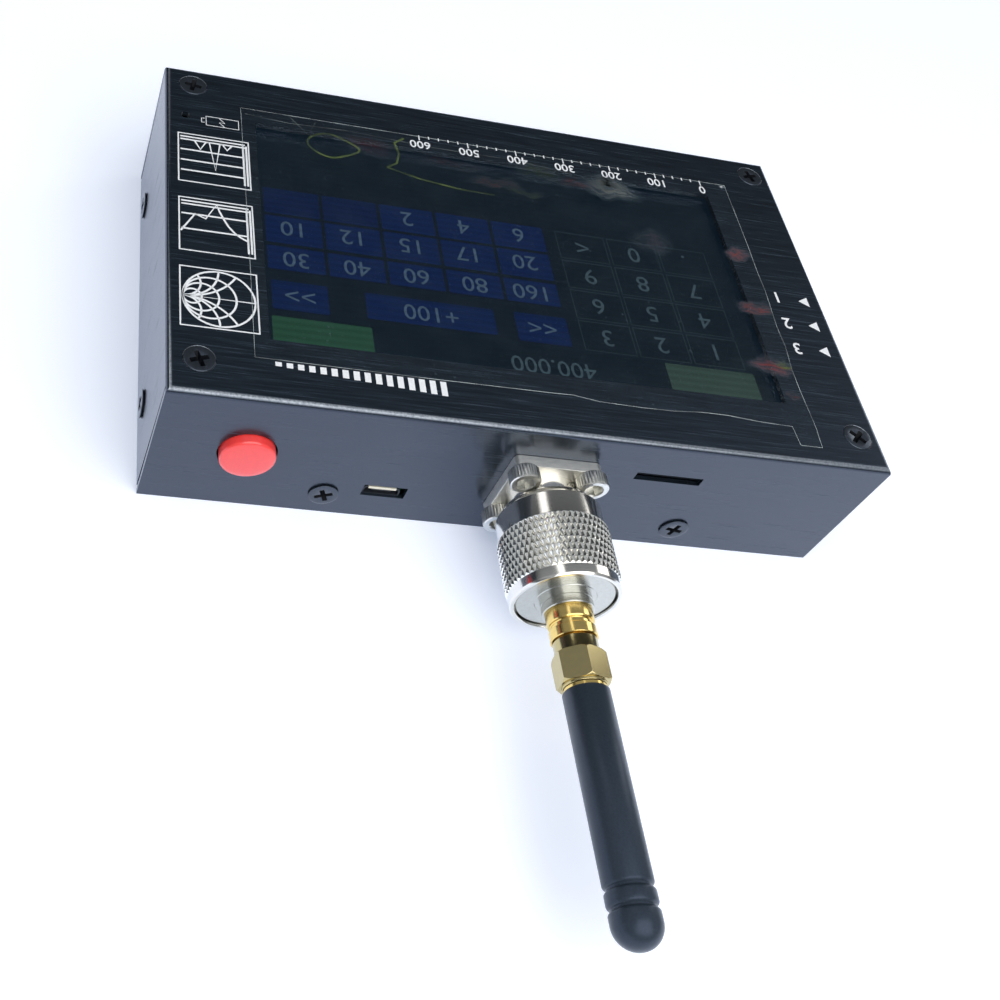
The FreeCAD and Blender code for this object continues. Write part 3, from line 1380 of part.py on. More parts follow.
def make_charger():
    # the board narrows to a tongue between the wall screws, under the receptacle
    half = "charger_length / 2"
    tongue_half = "(usb_wide / 2 + charger_tongue_margin)"
    keep(plate("charger_board", [
        (f"usb_x - {half}", "charger_back"),
        (f"usb_x + {half}", "charger_back"),
        (f"usb_x + {half}", "charger_shoulder"),
        (f"usb_x + {tongue_half}", "charger_shoulder"),
        (f"usb_x + {tongue_half}", "charger_front"),
        (f"usb_x - {tongue_half}", "charger_front"),
        (f"usb_x - {tongue_half}", "charger_shoulder"),
        (f"usb_x - {half}", "charger_shoulder"),
    ], "charger_thickness", "charger_bottom"))
    post = rod("charger_post", "charger_post_radius", "z", "0", "charger_bottom - cover_sheet",
               ("0", "0"))
    middle = "(charger_shoulder + charger_back) / 2"
    keep(repeated("charger_posts", post,
                  [(x, y, "cover_sheet") for x, y in corners_of(
                      "usb_x", middle, "charger_length - 2 * charger_post_inset",
                      "charger_shoulder - charger_back - 2 * charger_post_inset")]))
    keep(block("charger_chip",
               ("usb_x - charger_chip_length / 2", "usb_x + charger_chip_length / 2"),
               (f"{middle} - charger_chip_width / 2", f"{middle} + charger_chip_width / 2"),
               ("charger_top", "charger_top + charger_chip_height")))

    # micro-USB receptacle: a folded steel shell, narrow side up, round a plastic tongue
    body = doc.addObject("PartDesign::Body", "usb_shell")
    sketch = new_sketch(body, "XZ_Plane", "usb_shell_outline")
    outline(sketch, usb_outline("0"))
    outline(sketch, usb_outline("usb_sheet"))
    pad = body.newObject("PartDesign::Pad", "usb_shell_tube")
    pad.Profile = sketch
    pad.setExpression("Length", bound("usb_depth"))
    place(body, "usb_x", "usb_front", "usb_bottom")
    lip = block("usb_top_lip", ("usb_x - usb_narrow / 2", "usb_x + usb_narrow / 2"),
                ("usb_front - usb_sheet", "usb_front"),
                ("usb_bottom + usb_height - usb_sheet", "usb_bottom + usb_height + usb_lip"))
    keep(fuse("usb_receptacle", body, lip))

    rear = doc.addObject("PartDesign::Body", "usb_rear_block")
    sketch = new_sketch(rear, "XZ_Plane", "usb_rear_outline")
    outline(sketch, usb_outline("usb_sheet + press_clearance"))
    pad = rear.newObject("PartDesign::Pad", "usb_rear_plug")
    pad.Profile = sketch
    pad.setExpression("Length", bound("usb_depth - usb_tongue_reach - usb_front_gap"))
    place(rear, "usb_x", "usb_front - usb_tongue_reach - usb_front_gap", "usb_bottom")
    tongue = block("usb_tongue_bar",
                   ("usb_x - usb_tongue_length / 2", "usb_x + usb_tongue_length / 2"),
                   ("usb_front - usb_tongue_reach - 2 * usb_front_gap",
                    "usb_front - usb_front_gap * 4"),
                   ("usb_bottom + usb_height / 2",
                    "usb_bottom + usb_height / 2 + usb_tongue_thickness"))
    keep(fuse("usb_tongue", rear, tongue))


def usb_outline(inset):
    """The receptacle's front outline, moved inwards by the inset."""
    wide = f"usb_wide / 2 - ({inset})"
    narrow = f"usb_narrow / 2 - ({inset})"
    base = f"0 + ({inset})"
    return [
        (f"-({wide})", base),
        (wide, base),
        (wide, "usb_side_height"),
        (narrow, f"usb_height - ({inset})"),
        (f"-({narrow})", f"usb_height - ({inset})"),
        (f"-({wide})", "usb_side_height"),
    ]


def make_battery_lead():
    """Two wires from the cell's end over to the charger board, with round bends."""
    cell_end = size("battery_right")
    cell_exit = size("battery_y + battery_width / 4")
    landing = size("charger_top + lead_radius")
    run = size("charger_back + charger_post_inset")
    bend = size("lead_bend")
    turn = size("(battery_right + charger_left) / 2")
    wires = []
    for side in (-0.5, 0.5):
        shift = side * size("lead_pitch")
        points = [
            Vector(cell_end, cell_exit + shift, landing),
            Vector(turn - shift, cell_exit + shift, landing),
            Vector(turn - shift, run + shift, landing),
            Vector(size("charger_left") + 2 * bend, run + shift, landing),
        ]
        wires.append(round_wire(points, bend, size("lead_radius")))
    lead = doc.addObject("Part::Feature", "battery_lead")
    lead.Shape = Part.makeCompound(wires)
    keep(lead)


def round_wire(points, bend, radius):
    """A wire of round section along straight runs joined by tangent arcs."""
    edges = []
    here = points[0]
    for before, corner, after in zip(points, points[1:], points[2:]):
        back = (before - corner).normalize()
        onward = (after - corner).normalize()
        half_turn = back.getAngle(onward) / 2
        reach = bend / math.tan(half_turn)
        start, end = corner + back * reach, corner + onward * reach
        middle = (back + onward).normalize()
        knee = corner + middle * (bend / math.sin(half_turn) - bend)
        edges.append(Part.LineSegment(here, start).toShape())
        edges.append(Part.Arc(start, knee, end).toShape())
        here = end
    edges.append(Part.LineSegment(here, points[-1]).toShape())
    path = Part.Wire(edges)
    section = Part.Wire([Part.Circle(points[0], points[1] - points[0], radius).toShape()])
    return path.makePipeShell([section], True, False)


# ---------------------------------------------------------------- build, check and write

make_front_shell()
make_back_cover()
make_screws()
make_display()
make_ribbon()
make_film()
make_main_board()
make_card_socket()
make_power_switch()
make_band_switch()
make_n_socket()
make_adapter()
make_antenna_nut()
make_antenna()
make_radio_board()
make_battery()
make_charger()
make_battery_lead()
doc.recompute()

for item in doc.Objects:
    if {"Invalid", "Error"} & set(item.State):
        raise RuntimeError(f"{item.Name} failed: {item.State}")
for label, solid in kept.items():
    shape = solid.Shape
    if shape.isNull() or not shape.isValid() or not shape.Solids:
        raise RuntimeError(f"{label} has no valid solid")

os.makedirs(PARTS_FOLDER, exist_ok=True)
for label, solid in kept.items():
    solid.Shape.exportStep(os.path.join(PARTS_FOLDER, f"{label}.step"))
print(f"{len(kept)} sub-parts written")
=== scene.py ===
import json
import math
from contextlib import contextmanager

import bpy
from bpy import ops
from mathutils import Euler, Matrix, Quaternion, Vector


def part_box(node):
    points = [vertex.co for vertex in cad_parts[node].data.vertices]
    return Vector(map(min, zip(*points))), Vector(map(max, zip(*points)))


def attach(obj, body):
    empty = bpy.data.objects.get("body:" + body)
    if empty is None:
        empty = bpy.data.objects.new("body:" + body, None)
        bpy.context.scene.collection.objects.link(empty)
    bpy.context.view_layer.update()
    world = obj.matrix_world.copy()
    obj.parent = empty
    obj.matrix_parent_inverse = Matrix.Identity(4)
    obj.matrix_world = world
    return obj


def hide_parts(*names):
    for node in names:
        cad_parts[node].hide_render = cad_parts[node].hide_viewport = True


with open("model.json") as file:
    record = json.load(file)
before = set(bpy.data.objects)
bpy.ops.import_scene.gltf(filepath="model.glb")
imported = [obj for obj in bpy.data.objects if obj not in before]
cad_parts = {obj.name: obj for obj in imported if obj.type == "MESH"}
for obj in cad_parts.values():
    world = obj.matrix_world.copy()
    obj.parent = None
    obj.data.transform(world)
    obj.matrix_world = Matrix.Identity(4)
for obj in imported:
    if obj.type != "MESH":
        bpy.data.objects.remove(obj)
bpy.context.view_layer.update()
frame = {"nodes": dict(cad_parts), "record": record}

# The finish of a hand-held antenna analyzer: a folded case of brushed black aluminium with a
# touch display under its shipping film, a knurled N coupling, a gold plated jack and a stub
# antenna.  Blender's metres are written as millimetres times MM.

MM = 0.001


def corners(node):
    """The lowest and highest corners of a CAD node, in millimetres."""
    low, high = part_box(node)
    return low / MM, high / MM


# ---- places from the frame

CASE_LOW, CASE_HIGH = corners("front_shell")
FACE, WALL = CASE_HIGH.z, CASE_HIGH.y
JACK_LOW, JACK_HIGH = corners("sma_jack")
AXIS_X = (JACK_LOW.x + JACK_HIGH.x) / 2
AXIS_Z = (JACK_LOW.z + JACK_HIGH.z) / 2
ON_AXIS = Vector((AXIS_X, WALL, AXIS_Z))
OUT = Vector((0, 1, 0))
UP = Vector((0, 0, 1))

# ---- sizes, in millimetres

SHEET = 1.0
BEND_RADIUS = 1.1
WINDOW = ((-49.2, -27.9), (48.8, 28.1))
LIGHT_SPOT = (62.6, -27.1)
LIGHT_RADIUS = 0.9
HEAD_RADIUS = 2.75
HEAD_RIM = 0.15
HEAD_PROUD = 0.1
HEAD_SINK = HEAD_RADIUS + 0.11
SIDE_SINK = 2.55
SHANK_RADIUS = 1.45
FACE_SCREW_LENGTH = 12.0
SIDE_SCREW_LENGTH = 5.5
SIDE_SCREW_HEIGHT = 5.6
LONG_WALL_SCREWS = (-35.2, 33.8)
SHORT_WALL_SCREWS = (-26.25, 25.65)
SEAM_GAP = 0.3
SEAM_SPREAD = 3.0
USB_OPENING = ((19.1, 6.4), (27.2, 9.5))
CARD_OPENING = ((-32.95, 19.425), (-19.95, 21.475))
BAND_OPENING = ((1.6, 15.1), (12.2, 18.7))
BUTTON_GAP = 0.3
SOCKET_HOLE = 5.15
FLANGE = 2.3
KNURL_FLANK = 0.3
HEX_TURN = 8.0
PRINT = FACE + 0.005
INK = 0.02

# the floor's own brightness, as the camera sees it and as the case mirrors it
SEEN_GLOW = 0.355
MIRRORED_GLOW = 0.65

# ---- ways of working


def take(*pieces):
    """Makes these pieces the only selected ones, and the first of them the active one."""
    ops.object.select_all(action="DESELECT")
    for piece in pieces:
        piece.select_set(True)
    if pieces:
        bpy.context.view_layer.objects.active = pieces[0]


KINDS = {"VERT": "vertices", "EDGE": "edges", "FACE": "polygons"}


@contextmanager
def editing(piece, kind="VERT", wanted=None):
    """Edit mode on one piece by vertices, edges or faces.  Where wanted is given, those for
    which it is true are selected, and no others."""
    take(piece)
    if wanted:
        for each in KINDS.values():
            group = getattr(piece.data, each)
            chosen = each == KINDS[kind]
            group.foreach_set("select", [chosen and bool(wanted(item)) for item in group])
    bpy.context.tool_settings.mesh_select_mode = [kind == each for each in KINDS]
    ops.object.mode_set(mode="EDIT")
    yield
    ops.object.mode_set(mode="OBJECT")


def select_all():
    ops.mesh.select_all(action="SELECT")


def extrude(*by):
    """Extrudes what is selected by so much in x, y and z, in metres."""
    ops.mesh.extrude_region_move(TRANSFORM_OT_translate={"value": by})


def resize(*shares, centre=(0, 0, 0)):
    ops.transform.resize(value=shares, center_override=centre)


def weld(reach):
    """Merges the vertices of the whole mesh that lie within this reach."""
    select_all()
    ops.mesh.remove_doubles(threshold=reach * MM)


def face_outwards():
    select_all()
    ops.mesh.normals_make_consistent(inside=False)


def rounded(piece, width, segments, wanted):
    """Rounds the edges whose two ends make wanted true."""
    with editing(piece, "EDGE", lambda edge: wanted(*ends_of(piece, edge))):
        ops.mesh.bevel(offset=width * MM, segments=segments, affect="EDGES")


def upright(start, end):
    return abs(start.z - end.z) > abs(start.x - end.x) + abs(start.y - end.y)


def ends_of(piece, edge):
    return [piece.data.vertices[number].co for number in edge.vertices]


def settled(name):
    """Names the new primitive and puts its place into its mesh."""
    piece = bpy.context.object
    piece.name = name
    ops.object.transform_apply(location=True, rotation=True, scale=True)
    return piece


def block(name, low, high):
    low, high = Vector(low), Vector(high)
    take()
    ops.mesh.primitive_cube_add(size=1, location=(low + high) / 2 * MM, scale=(high - low) * MM)
    return settled(name)


def rod(name, start, end, radius, far_radius=None, steps=48):
    """A round bar between two points, or a cone where its far radius differs."""
    start, end = Vector(start), Vector(end)
    run = end - start
    take()
    ops.mesh.primitive_cone_add(
        vertices=steps, radius1=radius * MM,
        radius2=(radius if far_radius is None else far_radius) * MM,
        depth=run.length * MM, location=(start + end) / 2 * MM,
        rotation=run.to_track_quat("Z", "Y").to_euler())
    return settled(name)


def ring(name, radius, height, steps, fill="NOTHING"):
    take()
    ops.mesh.primitive_circle_add(
        vertices=steps, radius=radius * MM, fill_type=fill, location=(0, 0, height * MM))
    return settled(name)


def turned(name, profile, steps=96, hollow=False):
    """Lathe work round +Z from (radius, height) pairs; a hollow profile closes on itself."""
    (radius, height), *rest = profile
    if hollow:
        rest.append(profile[0])
    piece = ring(name, radius, height, steps, "NOTHING" if hollow else "NGON")
    with editing(piece, "EDGE" if hollow else "FACE"):
        select_all()
        for next_radius, next_height in rest:
            extrude(0, 0, (next_height - height) * MM)
            share = next_radius / radius
            resize(share, share, 1, centre=(0, 0, next_height * MM))
            radius, height = next_radius, next_height
        weld(0.002)
        face_outwards()
    return piece


def lay(piece, spot, towards, roll=0.0):
    """Puts a piece that was made round +Z at the origin in its place, and points it."""
    take(piece)
    piece.rotation_mode = "QUATERNION"
    piece.rotation_quaternion = (
        towards.to_track_quat("Z", "Y") @ Quaternion((0, 0, 1), math.radians(roll)))
    piece.location = Vector(spot) * MM
    ops.object.transform_apply(location=True, rotation=True, scale=True)
    piece.rotation_mode = "XYZ"
    return piece


def placed_copies(name, pattern, places):
    """Copies of a piece, each laid at its spot, direction and roll, and made one piece."""
    made = []
    for spot, towards, roll in places:
        take(pattern)
        ops.object.duplicate()
        made.append(lay(bpy.context.object, spot, towards, roll))
    bpy.data.objects.remove(pattern)
    return joined(name, *made)


def joined(name, *pieces):
    take(*pieces)
    if len(pieces) > 1:
        ops.object.join()
    pieces[0].name = name
    return pieces[0]


def modified(piece, kind, **settings):
    """Adds a modifier with its settings and applies it."""
    take(piece)
    ops.object.modifier_add(type=kind)
    made = piece.modifiers[-1]
    for word, value in settings.items():
        setattr(made, word, value)
    ops.object.modifier_apply(modifier=made.name)


def carved(piece, *tools, operation="DIFFERENCE"):
    for tool in tools:
        modified(piece, "BOOLEAN", object=tool, operation=operation, solver="EXACT")
        bpy.data.objects.remove(tool)


def eased(piece, width, segments=2, angle=30):
    """Breaks the sharp edges of a piece by a small round of the given width."""
    modified(piece, "BEVEL", width=width * MM, segments=segments, limit_method="ANGLE",
             angle_limit=math.radians(angle), use_clamp_overlap=True)


def smoothed(piece, angle, weighted=False):
    take(piece)
    ops.object.shade_smooth_by_angle(angle=math.radians(angle))
    if weighted:
        modified(piece, "WEIGHTED_NORMAL", keep_sharp=True, weight=100)


def arc(centre, radius, start, end, count):
    """Points on an arc, with its angles in degrees."""
    angles = [math.radians(start + (end - start) * step / (count - 1)) for step in range(count)]
    return [(centre[0] + radius * math.cos(angle), centre[1] + radius * math.sin(angle))
            for angle in angles]


# ---- materials


def to_linear(code):
    """An sRGB hex value as a linear colour."""
    shares = [int(code[place:place + 2], 16) / 255 for place in (1, 3, 5)]
    return [share / 12.92 if share <= 0.04045 else ((share + 0.055) / 1.055) ** 2.4
            for share in shares] + [1.0]


def fill(tree, node, inputs):
    """Sets the inputs of a node, and links those whose value is an output."""
    for socket, value in inputs.items():
        if isinstance(value, bpy.types.NodeSocket):
            tree.links.new(value, node.inputs[socket])
        else:
            node.inputs[socket].default_value = value


def add(tree, kind, inputs=(), output=0, **settings):
    """Adds a shader node with its settings and its inputs, which come in order or by name, and
    gives back one of its outputs, or all of them for None."""
    made = tree.nodes.new("ShaderNode" + kind)
    for word, value in settings.items():
        setattr(made, word, value)
    fill(tree, made, inputs if isinstance(inputs, dict) else dict(enumerate(inputs)))
    return made.outputs if output is None else made.outputs[output]


def plain(name):
    made = bpy.data.materials.new(name)
    made.use_nodes = True
    return made


def started(name):
    """A new material, its tree, and the place on the object as an output."""
    made = plain(name)
    return made, made.node_tree, add(made.node_tree, "TexCoord", output="Object")


def painted(made, **sockets):
    """Sets or links the sockets of a material's shader, and gives the material back."""
    fill(made.node_tree, made.node_tree.nodes["Principled BSDF"],
         {word.replace("_", " "): value for word, value in sockets.items()})
    return made


def ramps(tree, *limits):
    """The product of soft steps, each a value with its two limits and its range."""
    made, *others = [
        add(tree, "MapRange", step, interpolation_type="SMOOTHSTEP") for step in limits]
    for step in others:
        made = add(tree, "Math", (made, step), operation="MULTIPLY")
    return made


def summed(tree, total, *shares):
    """A total to which each value is added in its share."""
    for value, share in shares:
        value = add(tree, "Math", (value, share), operation="MULTIPLY")
        total = add(tree, "Math", (value, total), operation="ADD")
    return total


def grained(name, colour, roughness, metallic, grain, spread=0.12, relief=0.0,
            stretch=(1, 1, 1), **sockets):
    """A finish whose tone, gloss and relief vary with a noise of the given grain, in mm."""
    made, tree, place = started(name)
    place = add(tree, "Mapping", {"Vector": place, "Scale": stretch})
    noise = add(
        tree, "TexNoise",
        {"Vector": place, "Scale": 1 / (grain * MM), "Detail": 4.0, "Roughness": 0.6})
    tone = add(tree, "MapRange", (noise, 0.3, 0.7, 1 - spread, 1 + spread))
    shade = add(tree, "VectorMath", {0: to_linear(colour)[:3], "Scale": tone}, operation="SCALE")
    gloss = add(
        tree, "MapRange", (noise, 0.3, 0.7, roughness * (1 - spread), roughness * (1 + spread)))
    if relief:
        sockets["Normal"] = add(tree, "Bump", {"Height": noise, "Distance": relief * MM})
    return painted(made, Metallic=metallic, Base_Color=shade, Roughness=gloss, **sockets)


def brushed_anodised_aluminium():
    """Black anodised aluminium sheet, brushed along its length before it was folded: near black
    from above, pale where it mirrors the floor at a low angle, with fine silky strokes.  Some
    strokes are rougher and glint near a light.  The bends that cross the rolling direction
    carry a pale, grainy silver band: partly crazed anodising, partly a painted highlight."""
    made, tree, place = started("black_brushed_anodised_aluminium")
    stroke, hair = 1 / (13.0 * MM), 1 / (0.36 * MM)
    normal = add(tree, "TexCoord", output="Normal")
    facing = add(tree, "VectorMath", (normal,), operation="ABSOLUTE")
    facing = add(tree, "SeparateXYZ", (facing,), None)
    sideways = add(tree, "Math", (facing["X"], 0.7), operation="GREATER_THAN")
    across = add(tree, "Mix", {0: sideways, 4: (1, 0, 0), 5: (0, 0, 1)}, 1, data_type="VECTOR")
    across = add(tree, "VectorMath", (normal, across), operation="CROSS_PRODUCT")
    strokes = [add(tree, "Mapping", {"Vector": place, "Scale": scale})
               for scale in ((stroke, hair, hair), (hair, hair, stroke))]
    strokes = add(tree, "Mix", {0: sideways, 4: strokes[0], 5: strokes[1]}, 1, data_type="VECTOR")
    hairs = add(
        tree, "TexNoise", {"Vector": strokes, "Scale": 1.0, "Detail": 3.0, "Roughness": 0.7})
    grain = add(
        tree, "TexNoise",
        {"Vector": place, "Scale": 1 / (0.4 * MM), "Detail": 4.0, "Roughness": 0.7})
    # painted highlight on the bends, partly crazed anodising: pale grainy silver metal over their
    # upper part
    bend_crazing_and_highlight = ramps(tree, (facing["Y"], 0.06, 0.2), (facing["Y"], 0.86, 0.62),
                 (grain, 0.35, 0.62, 0.45, 1.0))
    shade = add(
        tree, "VectorMath",
        {0: to_linear("#131A20")[:3], "Scale": ramps(tree, (hairs, 0.35, 0.75, 0.7, 2.4))},
        operation="SCALE")
    shade = add(tree, "Mix", {0: bend_crazing_and_highlight, 6: shade, 7: to_linear("#999FA6")}, 2, data_type="RGBA")
    gloss = summed(tree, 0.22, (ramps(tree, (hairs, 0.6, 0.74)), 0.32), (bend_crazing_and_highlight, 0.2))
    bump = add(tree, "Bump", {"Height": hairs, "Distance": 0.014 * MM,
                              "Strength": ramps(tree, (facing["Z"], 0.3, 0.8, 0.25, 1.0))})
    # the bluish specular tint is a painted reflection colour: it gives everything the case mirrors
    # a blue cast
    return painted(
        made, Base_Color=shade, Metallic=bend_crazing_and_highlight, Roughness=gloss, Normal=bump, IOR=1.75,
        Specular_Tint=to_linear("#D0E0FF"), Anisotropic=0.7, Tangent=across)


def clear_glass():
    """The touch panel's cover glass: clear and polished, with a faint green cast in depth."""
    return painted(plain("clear_cover_glass"), IOR=1.5, Roughness=0.0,
                   Base_Color=to_linear("#E4F1EC"), Transmission_Weight=1.0)


def shipping_film():
    """Thin clear film that has been creased: a faint grey-green haze, soft ripples, and patches of
    red, green and grey, partly printed marks and partly painted reflections, with one painted
    glint."""
    made, tree, place = started("clear_shipping_film")
    ripple = add(tree, "TexNoise", {"Vector": place, "Scale": 1 / (6 * MM), "Detail": 4.0}, None)
    specks = add(tree, "TexNoise", {"Vector": place, "Scale": 1 / (0.8 * MM), "Detail": 1.0})
    height = summed(tree, specks, (ripple["Fac"], 8.0))
    drift = add(tree, "VectorMath", (ripple["Color"], (0.5, 0.5, 0.5)), operation="SUBTRACT")
    drift = add(tree, "VectorMath", {0: drift, "Scale": 7 * MM}, operation="SCALE")
    place = add(tree, "VectorMath", (place, drift), operation="ADD")
    flat = add(tree, "VectorMath", (place, (1, 1, 0)), operation="MULTIPLY")
    streaks = add(tree, "Mapping", {"Vector": place, "Scale": (1 / (2.4 * MM), 1 / (0.6 * MM), 0)})
    streaks = add(tree, "TexNoise", {"Vector": streaks, "Scale": 1.0, "Detail": 3.0})
    streaks = ramps(tree, (streaks, 0.4, 0.6, 0.35, 1.0))
    colour = to_linear("#8FA8B8")
    cover = add(tree, "Math", (ramps(tree, (ripple["Fac"], 0.35, 0.7, 0.004, 0.014)),
                               ramps(tree, (specks, 0.73, 0.78, 0.0, 0.16))), operation="ADD")
    for x, y, wide, tall, code, share in FILM_MARKS_AND_REFLECTIONS:
        reach = add(
            tree, "Mapping",
            {"Vector": flat, "Location": (x * MM, y * MM, 0), "Scale": (wide * MM, tall * MM, 1)},
            vector_type="TEXTURE")
        reach = add(tree, "VectorMath", (reach,), "Value", operation="LENGTH")
        mark_and_reflection = add(tree, "Math", (ramps(tree, (reach, 1.0, 0.2)), streaks), operation="MULTIPLY")
        colour = add(tree, "Mix", {0: mark_and_reflection, 6: colour, 7: to_linear(code)}, 2, data_type="RGBA")
        cover = summed(tree, cover, (mark_and_reflection, share))
    return painted(made, Base_Color=colour, Alpha=cover, Metallic=0.5, Roughness=0.1, IOR=1.5,
                   Normal=add(tree, "Bump", {"Height": height, "Distance": 0.02 * MM}))


# the film's patches, partly printed marks and partly painted reflections, and one painted glint:
# place and half sizes in millimetres, colour, and how much each one covers
FILM_MARKS_AND_REFLECTIONS = (
    (-26.8, -25.0, 8.0, 4.4, "#B4BAB4", 0.3), (-25.4, -26.2, 3.6, 2.4, "#10181A", 0.4),
    (-10.8, -26.4, 6.5, 3.6, "#7E8A5C", 0.1), (-18.2, -24.6, 5.2, 2.6, "#9A6260", 0.13),
    (0.4, -21.4, 6.5, 1.8, "#9A625C", 0.14), (-6.0, -19.9, 6.0, 1.4, "#8C9A5A", 0.08),
    (26.0, -26.4, 7.0, 3.6, "#8C4E52", 0.09), (9.0, -24.6, 9.0, 2.0, "#8A5C54", 0.06),
    (-51.0, -10.6, 4.4, 2.0, "#C87474", 0.38), (-50.4, 3.9, 5.2, 2.6, "#BC7474", 0.32),
    (-48.8, 19.2, 6.6, 2.8, "#C46666", 0.36), (-51.6, 18.0, 3.0, 1.4, "#8FA05A", 0.26),
    (-51.4, 25.4, 3.2, 1.6, "#A46C68", 0.14), (-32.1, -10.6, 6.0, 4.0, "#8A8592", 0.11),
    # a painted white glint at the film's far corner
    (-53.4, -31.0, 1.2, 1.0, "#FFFFFF", 1.0),
)


def film_highlight_line(name, code, roughness, grain, faint, strong):
    """A hair-thin painted highlight line in clear film whose strength comes and goes."""
    made, tree, place = started(name)
    noise = add(tree, "TexNoise", {"Vector": place, "Scale": 1 / (grain * MM), "Detail": 3.0})
    return painted(made, Base_Color=to_linear(code), Roughness=roughness,
                   Alpha=ramps(tree, (noise, 0.35, 0.65, faint, strong)))


def lit(name, colour):
    """A lit patch of the display behind its glass: even colour with the panel's fine rows."""
    made, tree, place = started(name)
    row, waves = 0.25, 20
    wave = add(
        tree, "TexWave", {"Vector": place, "Scale": 1 / (row * MM) / waves, "Distortion": 0.0},
        "Fac", bands_direction="Y")
    shade = add(tree, "MapRange", (wave, 0.0, 1.0, 0.85, 1.1))
    glow = add(tree, "VectorMath", {0: to_linear(colour)[:3], "Scale": shade}, operation="SCALE")
    return painted(made, Base_Color=to_linear("#05070A"), Roughness=0.6, Specular_IOR_Level=0.1,
                   Emission_Color=glow, Emission_Strength=1.0)


# Each slot of the record: its name, colour, roughness and metal, the grain of its noise in mm,
# how far the noise spreads its tone, and the depth of its relief in mm.
GRAINED = {
    # chemically blackened steel screws: dark, slightly oily, glinting at the edges
    "black_oxide": ("black_oxide_steel", "#464D57", 0.24, 0.7, 0.5, 0.12, 0.002),
    # zinc plated steel: blue-grey, cloudy
    "zinc_steel": ("zinc_plated_steel", "#B9BEC4", 0.32, 1.0, 1.4, 0.15),
    # bright nickel over turned brass: a warm mirror with faint turning marks
    "nickel": ("bright_nickel_plate", "#E0DDD5", 0.14, 1.0, 0.6, 0.05, 0.0006, (1, 4, 1)),
    # zinc-nickel plated socket screws: bright but a little rougher
    "plated_screw": ("plated_socket_screw", "#DAD9D3", 0.3, 1.0, 0.4, 0.1, 0.001),
    "spacer_brass": ("nickel_plated_brass", "#C9C2AC", 0.25, 1.0, 0.8),
    # hard gold over brass: deep yellow mirror
    "gold_bright": ("bright_gold_plate", "#E4C67A", 0.18, 1.0, 0.5, 0.06, 0.0006, (1, 4, 1)),
    # thin gold on a milled hexagon: paler and satin
    "gold_satin": ("satin_gold_plate", "#BCAC7A", 0.2, 1.0, 0.8, 0.04, 0.0002),
    # turned fluoropolymer: milky white, waxy
    "ptfe": ("turned_fluoropolymer", "#E9E8E2", 0.45, 0.0, 0.6, 0.05),
    "black_rubber": ("black_rubber", "#1C1C1E", 0.7, 0.0, 0.3, 0.12, 0.01),
    "copper_wire": ("enamelled_copper", "#B8703C", 0.25, 1.0, 0.5),
    # the display's front polariser: almost black, smooth
    "screen_glass": ("display_polariser", "#0B0F13", 0.25, 0.0, 4.0, 0.2),
    # tinned steel: bright grey with a soft crystalline mottle
    "tin_steel": ("tinned_steel", "#C4C6C8", 0.28, 1.0, 1.2, 0.2, 0.002),
    "white_acrylic": ("frosted_acrylic", "#E8EAEC", 0.5, 0.0, 1.0, 0.04),
    # closed-cell foam: matt black with open pores
    "foam_tape": ("black_foam_tape", "#141415", 0.9, 0.0, 0.25, 0.3, 0.03),
    # solder mask over laminate: glossy green with the weave just showing
    "board_laminate": ("green_solder_mask", "#1E5B3A", 0.3, 0.0, 0.5, 0.15, 0.004),
    "chip_epoxy": ("moulded_chip_epoxy", "#1B1B1D", 0.55, 0.0, 0.15, 0.2, 0.004),
    "white_abs": ("white_moulded_abs", "#DEDED8", 0.45, 0.0, 0.8, 0.04),
    "black_abs": ("black_moulded_abs", "#17181A", 0.42, 0.0, 0.3, 0.15, 0.004),
    # resin-bonded paper: brown, fibrous
    "phenolic": ("phenolic_paper", "#6E4A26", 0.5, 0.0, 0.4, 0.25, 0.0, (1, 0.2, 1)),
    # crimped aluminium pouch: silver-grey, softly wrinkled
    "battery_foil": ("aluminium_pouch", "#B6B9BD", 0.35, 0.9, 3.0, 0.1, 0.05),
    "lead_sleeve": ("red_silicone_sleeve", "#A81E18", 0.4, 0.0, 0.4, 0.1),
    "flex_film": ("polyimide_film", "#B5751F", 0.3, 0.0, 2.0, 0.1),
    "led_epoxy": ("diffused_lamp_epoxy", "#1A1214", 0.3, 0.0, 0.5, 0.1),
}
FINISH = {slot: grained(*values) for slot, values in GRAINED.items()}
FINISH["case_anodised"] = brushed_anodised_aluminium()
FINISH["cover_glass"] = clear_glass()
FINISH["film"] = shipping_film()
# moulded antenna sleeve: dark slate, satin, with a faint powdery bloom; its bluish specular tint
# is a painted reflection colour
FINISH["whip_rubber"] = grained(
    "moulded_antenna_rubber", "#2E3740", 0.33, 0.0, 0.35, 0.14, 0.006, Specular_IOR_Level=0.37,
    Specular_Tint=to_linear("#CCDAFF"))
# injection moulded ABS: warm red with a satin sheen
FINISH["red_abs"] = grained(
    "red_moulded_abs", "#FF4643", 0.2, 0.0, 0.8, 0.03, 0.0004, Coat_Weight=0.5,
    Coat_Roughness=0.06)
# nickel plate over sawn and milled brass: the flange, softer than the turned work
SATIN_NICKEL = grained("satin_nickel_plate", "#F2F0E8", 0.46, 1.0, 0.5, 0.08, 0.0015, (0.25, 1, 1))
# nickel plate over the rolled diamonds of the knurling, softened by the rolling
KNURLED_NICKEL = grained("knurled_nickel_plate", "#F8F6EE", 0.2, 1.0, 0.5, 0.06)
# nickel plate over a faced disc: a fine turned satin
FACED_NICKEL = grained("faced_nickel_plate", "#C2C2BB", 0.24, 1.0, 0.6, 0.06, 0.0006, (1, 4, 1))
# tinned sheet in the shadow of its opening: painted shade, dark and rough
SHADED_TIN = grained("dull_tinned_steel", "#34383F", 0.5, 0.6, 0.4, 0.15)
